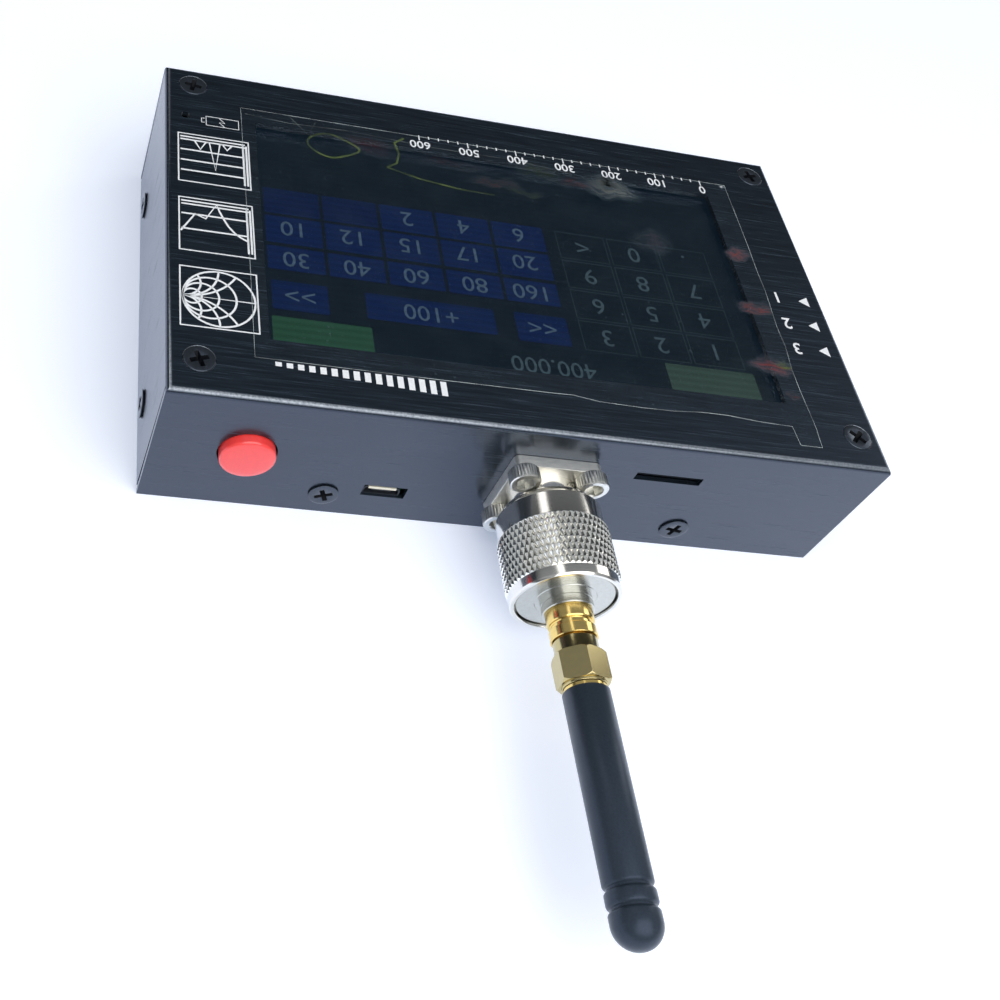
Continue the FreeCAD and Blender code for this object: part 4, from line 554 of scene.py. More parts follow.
# the bottom of a cross recess: painted shade on blackened steel, near black and dull
SHADED_RECESS = grained(
    "oiled_black_recess", "#05080E", 0.6, 0.0, 0.3, 0.2, Specular_IOR_Level=0.15)
# the cream tinned lip that faces the light, painted paler as a highlight
LIT_TIN_LIP = grained("pale_tinned_lip", "#E9E3CE", 0.4, 0.3, 0.4, 0.08)
# pad-printed ink: chalky white, a little thin over the brushing
WHITE_INK = grained("white_pad_printed_ink", "#F2F4F6", 0.55, 0.0, 0.25, 0.08)


def dressed(piece, finish):
    """Gives a piece its material: a slot of the record, or a material of its own."""
    piece.data.materials.clear()
    if isinstance(finish, str):
        finish = FINISH[finish]
    piece.data.materials.append(finish)


def fitted(piece, finish, *nodes, body="analyzer"):
    """Finishes a piece: its material, the body that it rides on and the nodes it stands for."""
    dressed(piece, finish)
    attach(piece, body)
    if nodes:
        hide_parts(*nodes)


def on_axis(piece, angle, finish, node, body="analyzer", roll=0.0):
    """Lays a lathed piece on the socket's axis, smooths it and fits it."""
    lay(piece, ON_AXIS, OUT, roll)
    smoothed(piece, angle, weighted=True)
    fitted(piece, finish, node, body=body)


# ---- case


def facing_down(face):
    return face.normal.z < -0.99


def make_front_shell():
    shell = block("case_shell", (CASE_LOW.x, CASE_LOW.y, 0), CASE_HIGH)
    top = (FACE - 0.01) * MM
    rounded(shell, BEND_RADIUS, 8, lambda start, end: min(start.z, end.z) > top)
    with editing(shell, "FACE", facing_down):
        ops.mesh.delete(type="FACE")
    modified(shell, "SOLIDIFY", thickness=SHEET * MM, offset=-1, use_even_offset=True)

    inside, over, nip = FACE - SHEET, 0.5, 0.05
    tools = [
        block("window", (*WINDOW[0], inside - over), (*WINDOW[1], FACE + over)),
        rod("light_hole", (*LIGHT_SPOT, inside - over), (*LIGHT_SPOT, FACE + over), LIGHT_RADIUS,
            steps=32),
    ]
    for x, y in face_screw_spots():
        tools.append(rod("face_sink", (x, y, inside - nip), (x, y, FACE + nip),
                         HEAD_SINK - SHEET - nip, HEAD_SINK + nip))
    for spot, out in side_screw_spots():
        tools.append(rod("side_sink", spot - out * (SHEET + nip), spot + out * nip,
                         SIDE_SINK - SHEET - nip, SIDE_SINK + nip))
    for side, end in ((-1, -1), (-1, 1), (1, -1), (1, 1)):
        x = sorted((side * (CASE_HIGH.x - SHEET - over), side * (CASE_HIGH.x + over)))
        y = sorted((end * (WALL - SHEET), end * (WALL - SHEET - SEAM_GAP)))
        seam = block("seam", (x[0], y[0], -1), (x[1], y[1], inside + 0.2))
        with editing(seam, "FACE", facing_down):
            resize(1, SEAM_SPREAD, 1, centre=(0, end * (WALL - SHEET) * MM, 0))
        tools.append(seam)
    near, far = WALL - SHEET - over, WALL + over
    low, high = corners("power_button")
    button_hole = (high.x - low.x) / 2 + BUTTON_GAP
    for name, spot, radius, count in (
            ("socket_hole", ON_AXIS, SOCKET_HOLE, 48),
            ("button_hole", (low + high) / 2, button_hole, 64)):
        tools.append(rod(name, (spot.x, near, spot.z), (spot.x, far, spot.z), radius, steps=count))
    for low, high in (USB_OPENING, CARD_OPENING):
        tools.append(block("wall_opening", (low[0], near, low[1]), (high[0], far, high[1])))
    low, high = BAND_OPENING
    tools.append(
        block("band_opening", (CASE_LOW.x - over, *low), (CASE_LOW.x + SHEET + over, *high)))
    carved(shell, *tools)
    eased(shell, 0.1, angle=50)
    smoothed(shell, 30, weighted=True)
    fitted(shell, "case_anodised", "front_shell")


def face_screw_spots():
    low, high = corners("face_screws")
    return [(x, y) for x in (low.x + HEAD_RADIUS, high.x - HEAD_RADIUS)
            for y in (low.y + HEAD_RADIUS, high.y - HEAD_RADIUS)]


def side_screw_spots():
    """Where each wall screw enters the wall's outer face, and the way its head points."""
    spots = []
    for sign in (-1, 1):
        spots += [((x, sign * WALL), (0, sign, 0)) for x in LONG_WALL_SCREWS]
        spots += [((sign * CASE_HIGH.x, y), (sign, 0, 0)) for y in SHORT_WALL_SCREWS]
    return [(Vector((*spot, SIDE_SCREW_HEIGHT)), Vector(out)) for spot, out in spots]


def cross_head_screw(length, rounding=0.0):
    """A countersunk screw with its tip at the origin and its head up, and a cross recess."""
    rim = length - (rounding or HEAD_RIM)
    crown = [(HEAD_RADIUS - 0.03, length - 0.07), (HEAD_RADIUS - 0.2, length - 0.02),
             (HEAD_RADIUS - 0.6, length)]
    if rounding:
        crown = arc((HEAD_RADIUS - rounding, rim), rounding, 15, 90, 5)
    cone = rim - (HEAD_RADIUS - SHANK_RADIUS)
    screw = turned("screw", [(SHANK_RADIUS - 0.3, 0), (SHANK_RADIUS, 0.3), (SHANK_RADIUS, cone),
                             (HEAD_RADIUS - 0.04, rim - 0.04), (HEAD_RADIUS, rim), *crown],
                   steps=64)
    half, arm, deep, over, narrow = 0.45, 1.7, 1.1, 0.02, 0.5
    for x, y in ((arm, half), (half, arm)):
        tool = block("recess", (-x, -y, length - deep), (x, y, length + over))
        with editing(tool, "FACE", facing_down):
            resize(narrow, narrow, 1)
        carved(screw, tool)
    eased(screw, 0.09, angle=50)
    smoothed(screw, 30)
    screw.data.materials.append(FINISH["black_oxide"])
    screw.data.materials.append(SHADED_RECESS)
    # the faces deep in the cross recess take the painted shade
    reach, low, high = 1.75, length - 1.3, length - 0.1
    for face in screw.data.polygons:
        spot = face.center / MM
        if math.hypot(spot.x, spot.y) < reach and low < spot.z < high:
            face.material_index = 1
    return screw


def make_screws():
    """The face screws, a touch proud with rounded heads, and the flat ones in the walls."""
    face_places = [((x, y, FACE + HEAD_PROUD - FACE_SCREW_LENGTH), UP, 17 + 31 * number)
                   for number, (x, y) in enumerate(face_screw_spots())]
    sunk = corners("side_screws")[1].x - CASE_HIGH.x - SIDE_SCREW_LENGTH
    wall_places = [(spot + out * sunk, out, 20 + 37 * number)
                   for number, (spot, out) in enumerate(side_screw_spots())]
    for name, node, screw, places in (
            ("face_cross_screws", "face_screws", cross_head_screw(FACE_SCREW_LENGTH, 0.2),
             face_places),
            ("wall_cross_screws", "side_screws", cross_head_screw(SIDE_SCREW_LENGTH),
             wall_places)):
        screws = placed_copies(name, screw, places)
        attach(screws, "analyzer")
        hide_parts(node)


# ---- button and band switch


def make_button():
    low, high = corners("power_button")
    radius, length = (high.x - low.x) / 2, high.y - low.y
    rounding, crown = 0.6, 0.2
    edge = arc((radius - rounding, length - crown - rounding), rounding, 0, 80, 6)
    cap = turned("power_button_cap", [(radius - 0.1, 0), (radius, 0.1), *edge,
                                      (radius * 0.7, length - crown * 0.45),
                                      (radius * 0.35, length - crown * 0.1),
                                      (radius * 0.1, length)])
    middle = (low + high) / 2
    lay(cap, (middle.x, low.y, middle.z), OUT)
    smoothed(cap, 40)
    fitted(cap, "red_abs", "power_button", body="power_button")


def make_band_knob():
    low, high = corners("band_knob")
    middle = (low + high) / 2
    half, rise, groove_half, groove_pitch = 2.0, 1.5, 0.25, 1.1
    inner = -(CASE_HIGH.x - SHEET) - 0.9
    slider = block("slider", (inner, low.y, low.z), high)
    thumb = block("thumb", (low.x, middle.y - half, middle.z - rise),
                  (inner + 0.5, middle.y + half, middle.z + rise))
    for step in (-1, 0, 1):
        y = middle.y + step * groove_pitch
        carved(thumb, block("groove", (low.x - 1, y - groove_half, middle.z - 2),
                            (low.x + 0.35, y + groove_half, middle.z + 2)))
    eased(thumb, 0.12)
    knob = joined("band_slider_knob", thumb, slider)
    smoothed(knob, 30)
    fitted(knob, "black_abs", "band_knob", body="band_knob")


def make_charging_receptacle():
    """The micro receptacle in its opening: a folded shell darkened by painted shade, with one lip
    painted pale as a highlight.
    """
    low, high = corners("usb_receptacle")
    corner, sheet, mouth, back, rise, aside = 0.9, 0.3, 4.2, 0.35, 0.35, 0.1
    middle, body_top, half = (low.x + high.x) / 2, high.z - rise, (high.x - low.x) / 2 - corner
    shell = block("charging_shell", low, (high.x, high.y - back, body_top))
    top = (body_top - 0.01) * MM
    rounded(shell, corner, 2,
            lambda start, end: min(start.z, end.z) > top and abs(start.y - end.y) > MM)
    with editing(shell, "FACE", lambda face: face.normal.y > 0.99):
        ops.mesh.inset(thickness=sheet * MM, depth=0)
        extrude(0, -mouth * MM, 0)
    smoothed(shell, 30)
    fitted(shell, SHADED_TIN, "usb_receptacle")
    lip = block("charging_lip", (middle - half + aside, high.y - 0.9, body_top - 0.25),
                (middle + half + aside, high.y, high.z))
    eased(lip, 0.08)
    smoothed(lip, 30)
    fitted(lip, LIT_TIN_LIP, "usb_receptacle")


# ---- N socket and its screws


def make_n_socket():
    low, high = corners("n_socket")
    half = (high.x - low.x) / 2
    flange = block("flange", (-half, -half, 0), (half, half, FLANGE))
    rounded(flange, 1.1, 6, upright)
    eased(flange, 0.18)
    on_axis(flange, 40, SATIN_NICKEL, "n_socket")
    crest, root, pitch, neck, bore, seat = 7.94, 7.4, 1.06, 6.2, 4.1, 3.6
    rear, start, end = -(WALL - low.y), 5.3, high.y - WALL
    thread = []
    for turn in range(int((end - start) / pitch)):
        foot = start + turn * pitch
        thread += [(root, foot + 0.05), (crest, foot + 0.45), (crest, foot + 0.6),
                   (root, foot + 1.0)]
    barrel = turned("n_socket_barrel", [
        (seat, rear), (5.0, rear), (5.0, 0.1), (neck, 0.1), (neck, start), *thread,
        (root, end - 0.1), (bore, end - 0.1), (bore, 4.0), (seat, 4.0)], hollow=True)
    lay(barrel, ON_AXIS, OUT)
    eased(barrel, 0.06, segments=1, angle=60)
    smoothed(barrel, 40, weighted=True)
    fitted(barrel, "nickel", "n_socket")


def make_cap_screws():
    """Socket-head screws with ribbed heads, a key hexagon and a plain shank."""
    radius, height, length, ribs, rib_depth, spread = 2.75, 2.7, 6.0, 36, 0.1, 6.35
    top = length + height
    screw = turned("cap_screw", [(1.2, 0), (1.45, 0.3), (1.45, length), (radius - 0.15, length),
                                 (radius, length + 0.15), (radius, top - 0.4),
                                 (radius - 0.08, top - 0.15), (radius - 0.3, top)],
                   steps=2 * ribs)

    def between_ribs(vertex):
        x, y, _ = vertex.co
        number = round(math.atan2(y, x) / (math.pi / ribs))
        return math.hypot(x, y) >= (radius - 0.01) * MM and number % 2 == 0

    share = 1 - rib_depth / radius
    with editing(screw, "VERT", between_ribs):
        resize(share, share, 1)
    carved(screw,
           rod("key", (0, 0, top - 1.5), (0, 0, top + 1), 2.9 / math.sqrt(3), steps=6),
           rod("lead_in", (0, 0, top - 0.25), (0, 0, top + 0.05), 1.45, 1.8))
    smoothed(screw, 22)
    places = [((AXIS_X + across * spread, WALL + FLANGE - length, AXIS_Z + rise * spread), OUT,
               11 + 23 * number)
              for number, (across, rise) in enumerate(((-1, -1), (-1, 1), (1, -1), (1, 1)))]
    screws = placed_copies("flange_cap_screws", screw, places)
    fitted(screws, "plated_screw", "flange_screws")


# ---- adapter


def knurled_band(name, radius, start, end, around, rows, rise, inner):
    """A closed ring of diamond knurling: a grid of oblongs is turned into diamonds, and each
    diamond is raised with sloping flanks and a softer top."""
    band = ring(name, radius, start, around)
    with editing(band, "EDGE"):
        select_all()
        for _ in range(rows):
            extrude(0, 0, (end - start) / rows * MM)
        face_outwards()
        ops.mesh.mark_seam(clear=False)
        ops.mesh.poke(offset=0)
    low, high = (start + 0.01) * MM, (end - 0.01) * MM

    def at_rim(edge):
        heights = [spot.z for spot in ends_of(band, edge)]
        return max(heights) < low or min(heights) > high

    def on_top(face):
        radial = Vector((face.center.x, face.center.y, 0)).normalized()
        return len(face.vertices) == 4 and face.normal.dot(radial) > 0.93

    with editing(band, "EDGE", lambda edge: edge.use_seam and not at_rim(edge)):
        ops.mesh.dissolve_edges(use_verts=False)
    flank = rise * 0.75
    for width, depth, wanted in (
            (KNURL_FLANK, flank, lambda face: True), (0.08, rise - flank, on_top)):
        with editing(band, "FACE", wanted):
            ops.mesh.inset(thickness=width * MM, depth=depth * MM, use_individual=True)
    with editing(band, "EDGE", at_rim):
        extrude(0, 0, 0)
        resize(inner / radius, inner / radius, 1)
        ops.mesh.bridge_edge_loops()
        face_outwards()
        ops.mesh.mark_seam(clear=True)
    return band


def make_coupling_nut():
    low, high = corners("coupling_nut")
    start, end = low.y - WALL, high.y - WALL
    collar, collar_end, knurl_end, rim, tip = 9.2, 11.7, 21.9, 9.5, 9.74
    base, valley, mouth, bore, back = 9.3, 9.4, 8.64, 8.43, 8.0
    body = turned("coupling_nut_body", [
        (back, start), (collar - 0.12, start), (collar, start + 0.12),
        (collar, collar_end - 0.15), (base, collar_end + 0.1), (base, knurl_end - 0.1),
        (rim, knurl_end + 0.08), (rim, end - 0.35), (rim - 0.25, end), (8.78, end),
        (mouth, end - 0.14), (mouth, 21.5), (bore, 21.5), (bore, 13.6), (back, 13.6),
    ], hollow=True, steps=160)
    eased(body, 0.05, angle=25)
    smoothed(body, 40, weighted=True)
    knurl = knurled_band(
        "coupling_nut_knurling", valley, collar_end, knurl_end, around=60, rows=4,
        rise=tip - valley, inner=base - 0.3)
    for piece, finish in ((body, "nickel"), (knurl, KNURLED_NICKEL)):
        lay(piece, ON_AXIS, OUT)
        fitted(piece, finish, "coupling_nut", body="coupling_nut")


def make_adapter():
    hub, disc, front, foot, bore = 4.38, 8.4, 23.5, 14.2, 2.6
    adapter = turned("adapter_disc_and_hub", [
        (3.3, 6.0), (4.0, 6.0), (4.0, foot), (disc, foot), (disc, front - 0.15),
        (disc - 0.15, front), (hub + 0.9, front), (hub + 0.8, front + 0.1), (hub, front + 0.1),
        (hub, front + 1.0), (hub - 0.12, front + 1.06), (hub - 0.12, front + 1.16),
        (hub, front + 1.22), (hub, 25.95), (hub - 0.15, 26.1), (3.02, 26.1), (3.02, 19.9),
        (bore, 19.9), (bore, foot), (3.3, foot),
    ], hollow=True, steps=128)
    on_axis(adapter, 30, FACED_NICKEL, "adapter_body")

    barrel, groove, thread, hole = 3.97, 3.45, 3.175, 2.02
    jack = turned("gold_jack", [
        (hole, 19.9), (3.0, 19.9), (3.0, 26.1), (barrel - 0.1, 26.1), (barrel, 26.2),
        (barrel, 28.2), (barrel - 0.15, 28.4), (groove + 0.15, 28.45), (groove, 28.6),
        (groove, 29.25), (groove + 0.15, 29.38), (barrel - 0.12, 29.4), (barrel, 29.52),
        (barrel, 31.18), (barrel - 0.12, 31.3), (thread, 31.3), (thread, 37.0),
        (thread - 0.2, 37.2), (hole, 37.2),
    ], hollow=True)
    on_axis(jack, 30, "gold_bright", "sma_jack")


# ---- antenna


def make_antenna():
    collar, bore, corner, chamfer = 3.7, 3.235, 8.0 / math.sqrt(3), 0.45
    nut = turned("hex_nut", [
        (bore, 31.5), (collar - 0.1, 31.5), (collar, 31.6), (collar, 33.9),
        (corner - chamfer, 33.9), (corner, 33.9 + chamfer), (corner, 39.3 - chamfer),
        (corner - chamfer, 39.3), (collar, 39.3), (collar, 39.6), (collar - 0.1, 39.7),
        (2.61, 39.7), (2.61, 38.3), (bore, 38.3),
    ], hollow=True, steps=120)
    carved(nut, rod("hex_bar", (0, 0, 31), (0, 0, 40.5), corner, steps=6), operation="INTERSECT")
    eased(nut, 0.07, angle=25)
    on_axis(nut, 35, "gold_satin", "antenna_nut", "antenna_nut", HEX_TURN)

    low, high = corners("antenna_whip")
    radius, start, end = (high.x - low.x) / 2, low.y - WALL, high.y - WALL
    profile = [(2.72, start), (radius - 0.2, start), (radius, start + 0.25)]
    half, lip = 0.36, 0.36
    flank = ((0, half + lip), (0.04, half + lip * 0.6), (0.1, half + lip * 0.3), (0.19, half),
             (0.45, half - 0.2))
    for groove in (71.3, 74.2):
        profile += [(radius - deep, groove - away) for deep, away in flank]
        profile += [(radius - deep, groove + away) for deep, away in flank[::-1]]
    dome = radius * 0.98
    profile += arc((radius - dome, end - dome), dome, 0, 86, 14)
    whip = turned("antenna_sleeve", profile)
    lay(whip, ON_AXIS, OUT)
    smoothed(whip, 50)
    fitted(whip, "whip_rubber", "antenna_whip")


# ---- printed marks


def wire(points, height):
    """A line of mesh edges through these points."""
    spots = [Vector((x, y, height)) * MM for x, y in points]
    take()
    ops.mesh.primitive_plane_add(size=MM, location=spots[0])
    piece = settled("line")
    with editing(piece):
        select_all()
        ops.mesh.merge(type="CENTER")
        for before, after in zip(spots, spots[1:]):
            extrude(*(after - before))
    return piece


def prism(name, points, low, high):
    """A straight-sided solid over a closed outline in the face's plane."""
    piece = wire(points + points[:1], low)
    piece.name = name
    with editing(piece, "EDGE"):
        weld(0.01)
        ops.mesh.edge_face_add()
        extrude(0, 0, (high - low) * MM)
        face_outwards()
    return piece


def drawn(name, runs, width, height, thick=INK):
    """Flat printed lines of one width; each run is a list of points in the face's plane."""
    lines = joined(name, *[wire(run, 0) for run in runs])
    with editing(lines):
        weld(0.01)
    take(lines)
    ops.object.convert(target="CURVE")
    curve = bpy.context.object.data
    curve.dimensions = "3D"
    curve.bevel_depth = width / 2 * MM
    curve.bevel_resolution = 1
    curve.use_fill_caps = True
    ops.object.convert(target="MESH")
    lines = bpy.context.object
    lines.name = name
    with editing(lines):
        select_all()
        resize(1, 1, thick / width)
        ops.transform.translate(value=(0, 0, (height + thick / 2) * MM))
    return lines


def written(text, x, y, tall, height, weight=0.0):
    """A numeral or sign, centred on x, with its foot at y."""
    capital_share = 0.69
    take()
    ops.object.text_add(location=(x * MM, y * MM, height * MM))
    sign = bpy.context.object.data
    sign.body = text
    sign.align_x = "CENTER"
    sign.size = tall / capital_share * MM
    sign.extrude = INK / 2 * MM
    sign.offset = weight * MM
    sign.resolution_u = 3
    ops.object.convert(target="MESH")
    return settled("sign")


def oblong(low, high):
    """The closed outline of a rectangle."""
    return [low, (high[0], low[1]), high, (low[0], high[1]), low]


def make_chart_marks():
    """Three pictures of charts beside the window: two traces on a grid and a round chart."""
    left, right, line = 64.1, 50.5, 0.38

    def chart(far, near, grid, trace):
        """Shares run from the far left corner, as seen with the sockets towards the viewer."""
        def spot(across, down):
            return (left + across * (right - left), far + down * (near - far))
        lines = [((0.03, down), (0.95, down)) for down in (0.065, 0.125)]
        lines += [((across, 0.09), (across, 0.93)) for across in (0.92, 0.965)]
        lines += [((0.03, down), (0.92, down)) for down in grid]
        return [oblong(spot(0, 0), spot(1, 1))] + [
            [spot(*point) for point in run] for run in (*lines, trace)]

    dips = [(0.23, 0.13), (0.31, 0.3), (0.39, 0.13), (0.44, 0.13), (0.515, 0.7), (0.59, 0.13),
            (0.63, 0.13), (0.69, 0.24), (0.76, 0.13)]
    peak = [(0.02, 0.65), (0.215, 0.3), (0.355, 0.37), (0.51, 0.07), (0.55, 0.2), (0.6, 0.33),
            (0.66, 0.46), (0.74, 0.57), (0.82, 0.64), (0.92, 0.7)]
    runs = chart(-21.6, -8.3, (0.34, 0.56, 0.77), dips) + chart(-3.9, 9.5, (0.31, 0.6), peak)
    marks = [drawn("chart_lines", runs, line, PRINT)]

    x, y, radius = 57.3, 20.35, 6.35
    runs = [oblong((right, 13.5), (left, 27.2)), [(x - radius, y), (x + radius, y)],
            arc((x, y), radius, 0, 360, 49)]
    for share in (0.74, 0.5, 0.26):
        runs.append(arc((x + radius * (1 - share), y), radius * share, 0, 360, 41))
    for reach in (1.7, 1.0, 0.5):
        turn = 2 * math.degrees(math.atan(1 / reach))
        for sign in (-1, 1):
            runs.append(arc((x + radius, y + sign * radius * reach), radius * reach, sign * -90,
                            sign * (-90 - turn), 17))
    marks.append(drawn("round_chart_lines", runs, line, PRINT))
    fitted(joined("chart_marks", *marks), WHITE_INK)


def make_other_marks():
    """Plain signs: a battery, a rising bar scale, a graduated scale and three switch places."""
    # a battery with a bolt beside the charging light
    runs = [oblong((52.2, -27.6), (58.6, -25.0)),
            [(58.9, -26.9), (59.5, -26.9), (59.5, -25.7), (58.9, -25.7)],
            [(55.9, -27.4), (54.9, -26.25), (56.0, -26.25), (55.0, -25.1)]]
    marks = [drawn("battery_lines", runs, 0.2, PRINT)]

    def bar(x, half, low, rise):
        marks.append(block("bar", (x - half, low, PRINT), (x + half, low + rise, PRINT + INK)))

    # a wedge of bars that grows towards the case's middle, between the button and the film
    count, first, last = 16, 47.6, 18.6
    for number in range(count):
        bar(first + (last - first) * number / (count - 1), 0.55, 32.95,
            0.9 + 2.2 * number / (count - 1))
    # a graduated scale along the far edge
    low, high, count, between = -48.4, 14.6, 30, 5
    for number in range(count + 1):
        x = low + (high - low) * number / count
        long_tick = number % between == 0
        bar(x, 0.13, -32.2, 1.5 if long_tick else 0.8)
        if long_tick:
            marks.append(written(str(number * 20), x, -30.4, 2.1, PRINT + 0.01, 0.03))
    # the places of the band switch
    base, tip, half = -63.3, -61.15, 1.25
    for number, (foot, middle) in enumerate(((-1.1, 0.45), (5.8, 7.0), (12.3, 13.5))):
        marks.append(written(str(number + 1), -56.4, foot, 2.7, PRINT + 0.01, 0.05))
        marks.append(prism("arrow", [(base, middle - half), (tip, middle),
                                     (base, middle + half)], PRINT, PRINT + INK))
    fitted(joined("plain_marks", *marks), WHITE_INK)


# ---- display picture and film


def make_display():
    """The lit picture just under the touch panel: keys, a keypad and a reading."""
    ground = corners("lcd_glass")[1].z + 0.01
    keys_at, signs_at = ground + 0.015, ground + 0.04
    backdrop = block("display_ground", (-50.0, -30.9, ground), (50.2, 30.9, ground + 0.01))
    fitted(backdrop, lit("display_ground_light", "#091623"))

    def key(low, high, name="key"):
        piece = block(name, (*low, keys_at), (*high, keys_at + INK))
        rounded(piece, 0.3, 3, upright)
        return piece

    pitch, first, gap = 11.48, 47.6, 0.7
    rows = [((3.3, 9.2), ("30", "40", "60", "80", "160")),
            ((-4.6, 2.4), ("10", "12", "15", "17", "20")),
            ((-12.0, -5.3), ("", "", "2", "4", "6"))]
    blue, dim, signs, pad_signs, outlines = [], [], [], [], []
    for (low, high), numbers in rows:
        for column, number in enumerate(numbers):
            right = first - column * pitch
            left = right - pitch + gap
            (blue if number else dim).append(key((left, low), (right, high)))
            if number:
                signs.append(written(number, (left + right) / 2, low + 1.2, 3.7, signs_at))
    for sign, low, high in ((">>", (36.9, 12.0), (47.3, 18.9)), ("<<", (-9.3, 12.0), (1.1, 19.0)),
                            ("+100", (5.2, 12.2), (29.9, 18.4))):
        blue.append(key(low, high))
        signs.append(written(sign, (low[0] + high[0]) / 2, low[1] + 1.5, 3.6, signs_at))
    for column, names in enumerate(("369<", "2580", "147.")):
        right = -11.9 - column * 11.15
        for row, number in enumerate(names):
            high = 19.2 - row * 7.9
            low = high - 7.2
            outlines.append(oblong((right - 10.4, low), (right, high)))
            pad_signs.append(written(number, right - 5.2, low + 1.7, 3.9, signs_at))
    pad_signs.append(written("400.000", -4.5, 22.9, 3.6, signs_at))
    for piece, light, colour in (
            (joined("blue_keys", *blue), "blue_key_light", "#041A48"),
            (joined("dim_blue_keys", *dim), "dim_blue_key_light", "#051841"),
            (key((29.4, 20.6), (47.6, 27.0), "green_key"), "green_key_light", "#254738"),
            (key((-46.0, 20.0), (-27.6, 26.9), "olive_key"), "olive_key_light", "#344540"),
            (drawn("keypad_lines", outlines, 0.16, keys_at), "keypad_line_light", "#323F49"),
            (joined("keypad_signs", *pad_signs), "keypad_sign_light", "#404E5A"),
            (joined("display_signs", *signs), "display_sign_light", "#48586E")):
        fitted(piece, lit(light, colour))


# the film's outline, in millimetres: it was cut by hand, so its loose edges wander
FILM_OUTLINE = [
    (51.6, -31.8), (51.5, 8.0), (51.6, 32.5), (20.0, 32.6), (-2.0, 32.5), (-5.6, 32.4),
    (-10.5, 33.2), (-18.7, 33.4), (-25.0, 33.3), (-30.6, 32.8), (-35.7, 32.8), (-41.9, 33.4),
    (-48.5, 33.6), (-48.8, 37.6), (-49.0, 37.8), (-53.2, 37.8), (-53.5, 33.1), (-53.2, 24.6),
    (-53.2, 19.5), (-53.8, 13.5), (-53.6, 8.6), (-54.2, -1.1), (-54.1, -6.1), (-54.3, -14.3),
    (-54.3, -29.0), (-54.3, -31.9), (0.0, -31.8),
]


def make_film():
    """The shipping film: one thin sheet with its pull tab, rippled, with a painted highlight along
    its cut edge.
    """
    low, high = [corner.z for corner in corners("screen_film")]
    low += 0.04
    margin, cell, ripple = 1.0, 1.3, 14
    across, along = zip(*FILM_OUTLINE)
    first = Vector((min(across) - margin, min(along) - margin, low))
    last = Vector((max(across) + margin, max(along) + margin, low))
    wide, tall = last.x - first.x, last.y - first.y
    take()
    ops.mesh.primitive_grid_add(
        x_subdivisions=int(wide / cell), y_subdivisions=int(tall / cell), size=1)
    film = bpy.context.object
    film.scale = (wide * MM, tall * MM, 1)
    film.location = (first + last) / 2 * MM
    film = settled("shipping_film_sheet")
    ripples = bpy.data.textures.new("ripples", "CLOUDS")
    ripples.noise_scale = ripple * MM
    modified(film, "DISPLACE", texture=ripples, strength=(high - low - INK) * MM, mid_level=0,
             texture_coords="LOCAL", direction="Z")
    modified(film, "SOLIDIFY", thickness=INK * MM, offset=0)
    carved(film, prism("film_cutter", FILM_OUTLINE, low - 1, high + 1), operation="INTERSECT")
    smoothed(film, 60)
    fitted(film, "film", "screen_film")
    # a painted highlight along the cut edge: a pale line
    edge = drawn("film_cut_edge", [FILM_OUTLINE + FILM_OUTLINE[:1]], 0.11, low, 0.06)
    fitted(edge, film_highlight_line("film_cut_edge", "#DCE6E6", 0.3, 5, 0.15, 0.6))
    # painted highlights where the film is creased: a loop, and green and grey lines along the
    # folds
    loop = [(33.2 + 4.8 * math.cos(turn) + 0.5 * math.cos(3 * turn),
             -24.6 + 3.4 * math.sin(turn) + 0.4 * math.sin(2 * turn))
            for turn in (math.tau * step / 36 for step in range(37))]
    green, grey = ("#9DB45A", 0.45), ("#B9C6C4", 0.14)
    crease_highlights = [
        (green, loop),
        (green, [(22.6, -20.8), (20.4, -22.4), (19.6, -25.4), (20.2, -28.6), (18.0, -30.4)]),
        (green, [(22.6, -20.8), (16.0, -18.8), (8.0, -17.6), (0.5, -17.4)]),
        (grey, [(41.5, -31.2), (38.2, -26.8), (36.4, -31.0)]),
        (grey, [(50.8, -30.2), (42.0, -29.4), (30.0, -30.0), (12.0, -29.0), (-6.0, -29.2),
                (-18.0, -27.6)]),
    ]
    for number, ((code, width), run) in enumerate(crease_highlights):
        crease_highlight = drawn(f"film_crease_{number + 1}", [run], width, low, 0.05)
        fitted(crease_highlight, film_highlight_line("film_crease", code, 0.4, 4, 0.03, 0.16))


# ---- stage, light and camera


def make_stage():
    """A white table that stays white to the eye and still takes the soft shadow."""
    take()
    ops.mesh.primitive_plane_add(size=8, location=(0, 0, 0))
    floor = settled("floor")
    made = plain("white_paper_floor")
    tree = made.node_tree
    path = add(tree, "LightPath", output=None)
    seen = path["Is Camera Ray"]
    mirrored = add(tree, "Math", (path["Is Glossy Ray"], path["Is Transmission Ray"]),
                   operation="MAXIMUM")
    mirrored = add(tree, "Math", (mirrored, MIRRORED_GLOW), operation="MULTIPLY")
    tint = add(tree, "Mix", {0: seen, 6: to_linear("#B8CCF0"), 7: to_linear("#C4D4F4")}, 2,
               data_type="RGBA")
    floor.data.materials.append(painted(
        made, Base_Color=to_linear("#FAFAFC"), Roughness=0.9, Specular_IOR_Level=0.0,
        Emission_Strength=summed(tree, mirrored, (seen, SEEN_GLOW)), Emission_Color=tint))


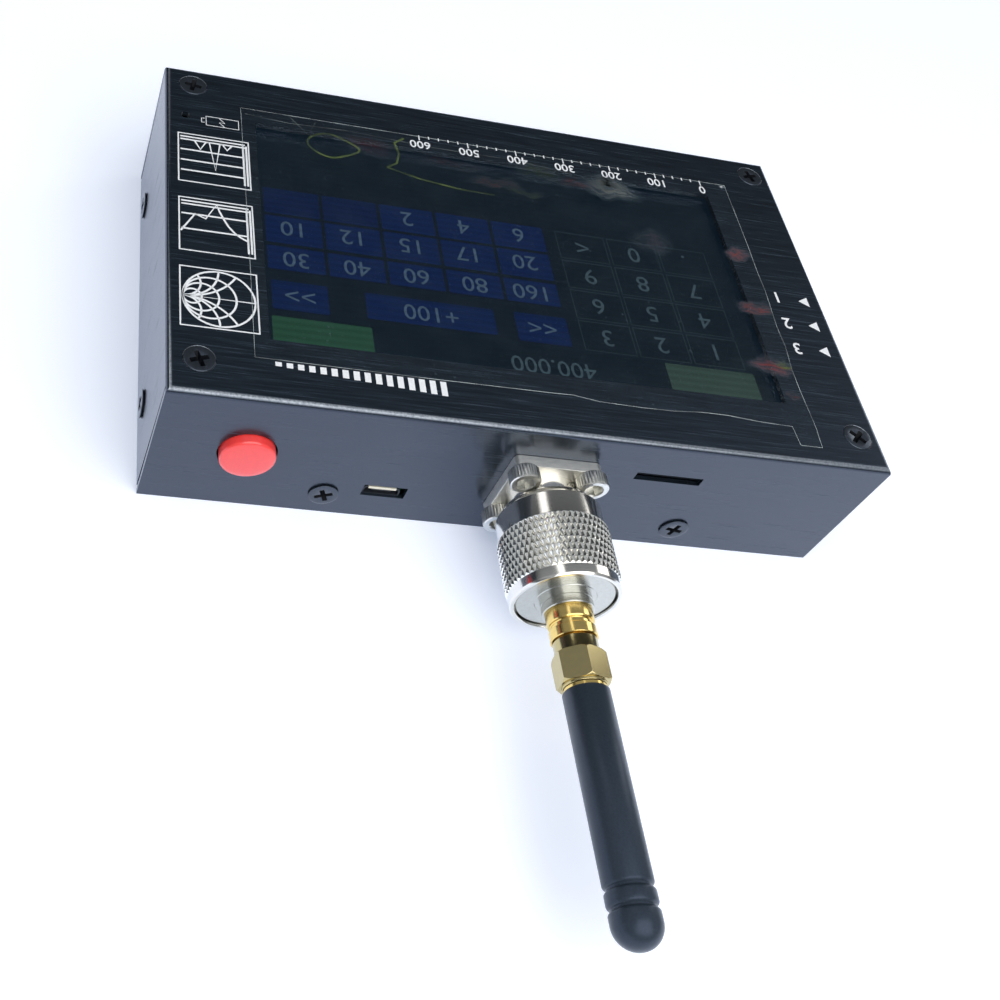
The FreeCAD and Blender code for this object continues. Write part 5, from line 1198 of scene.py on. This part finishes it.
def lamp(name, towards, distance, size, strength):
    """A soft panel at that direction from the case, facing it; strength is its brightness."""
    towards = Vector(towards).normalized()
    ops.object.light_add(
        type="AREA", location=towards * distance,
        rotation=towards.to_track_quat("Z", "Y").to_euler())
    made = bpy.context.object
    made.name = name
    made.data.shape = "RECTANGLE"
    made.data.size, made.data.size_y = size
    made.data.energy = strength * math.pi * size[0] * size[1]


def make_light():
    lamp("overhead_softbox", (-0.05, 0.55, 0.83), 0.95, (1.1, 1.0), 2.4)
    lamp("key_panel", (0.43, -0.5, 0.76), 0.9, (0.14, 0.36), 1.6)
    lamp("side_strip", (-0.82, -0.42, 0.4), 0.9, (0.14, 0.4), 2.5)
    world = bpy.data.worlds.new("studio")
    bpy.context.scene.world = world
    world.use_nodes = True
    tree = world.node_tree
    place = add(tree, "TexCoord", output="Generated")
    way = add(tree, "SeparateXYZ", (place,), None)
    side, rise = way["Y"], way["Z"]
    walls = ramps(tree, (side, -0.62, -0.4, 0.05, 0.5), (rise, 0.1, 0.42, 0.2, 1.0))
    horizon = ramps(
        tree, (rise, 0.14, 0.0), (side, -0.6, -0.4, 0.1, 0.3), (side, 0.7, 0.4, 0.1, 1.0))
    fill(tree, tree.nodes["Background"], {
        "Color": to_linear("#E6ECF4"),
        "Strength": add(tree, "Math", (walls, horizon), operation="ADD")})


def make_camera():
    data = bpy.data.cameras.new("camera")
    camera = bpy.data.objects.new("camera", data)
    bpy.context.scene.collection.objects.link(camera)
    camera.location = (0.095296, 0.171404, 0.186919)
    camera.rotation_euler = Euler([math.radians(angle) for angle in (38.7727, -13.3577, 177.3986)])
    data.sensor_width = 36.0
    data.lens = 46.564
    data.shift_x = 0.2450
    data.shift_y = -0.0916
    data.clip_start = 0.01
    bpy.context.scene.camera = camera


# ---- everything together

make_camera()
make_stage()
make_light()
make_front_shell()
make_screws()
make_button()
make_band_knob()
make_charging_receptacle()
make_n_socket()
make_cap_screws()
make_coupling_nut()
make_adapter()
make_antenna()
make_chart_marks()
make_other_marks()
make_display()
make_film()

slots = {part["node"]: part["material_slot"] for part in frame["record"]["subparts"]}
for node, solid in frame["nodes"].items():
    if not solid.hide_render:
        dressed(solid, slots[node])
# the card socket behind its slot takes the painted shade as well
frame["nodes"]["card_socket"].data.materials[0] = SHADED_TIN

bpy.context.scene.view_settings.view_transform = "Standard"
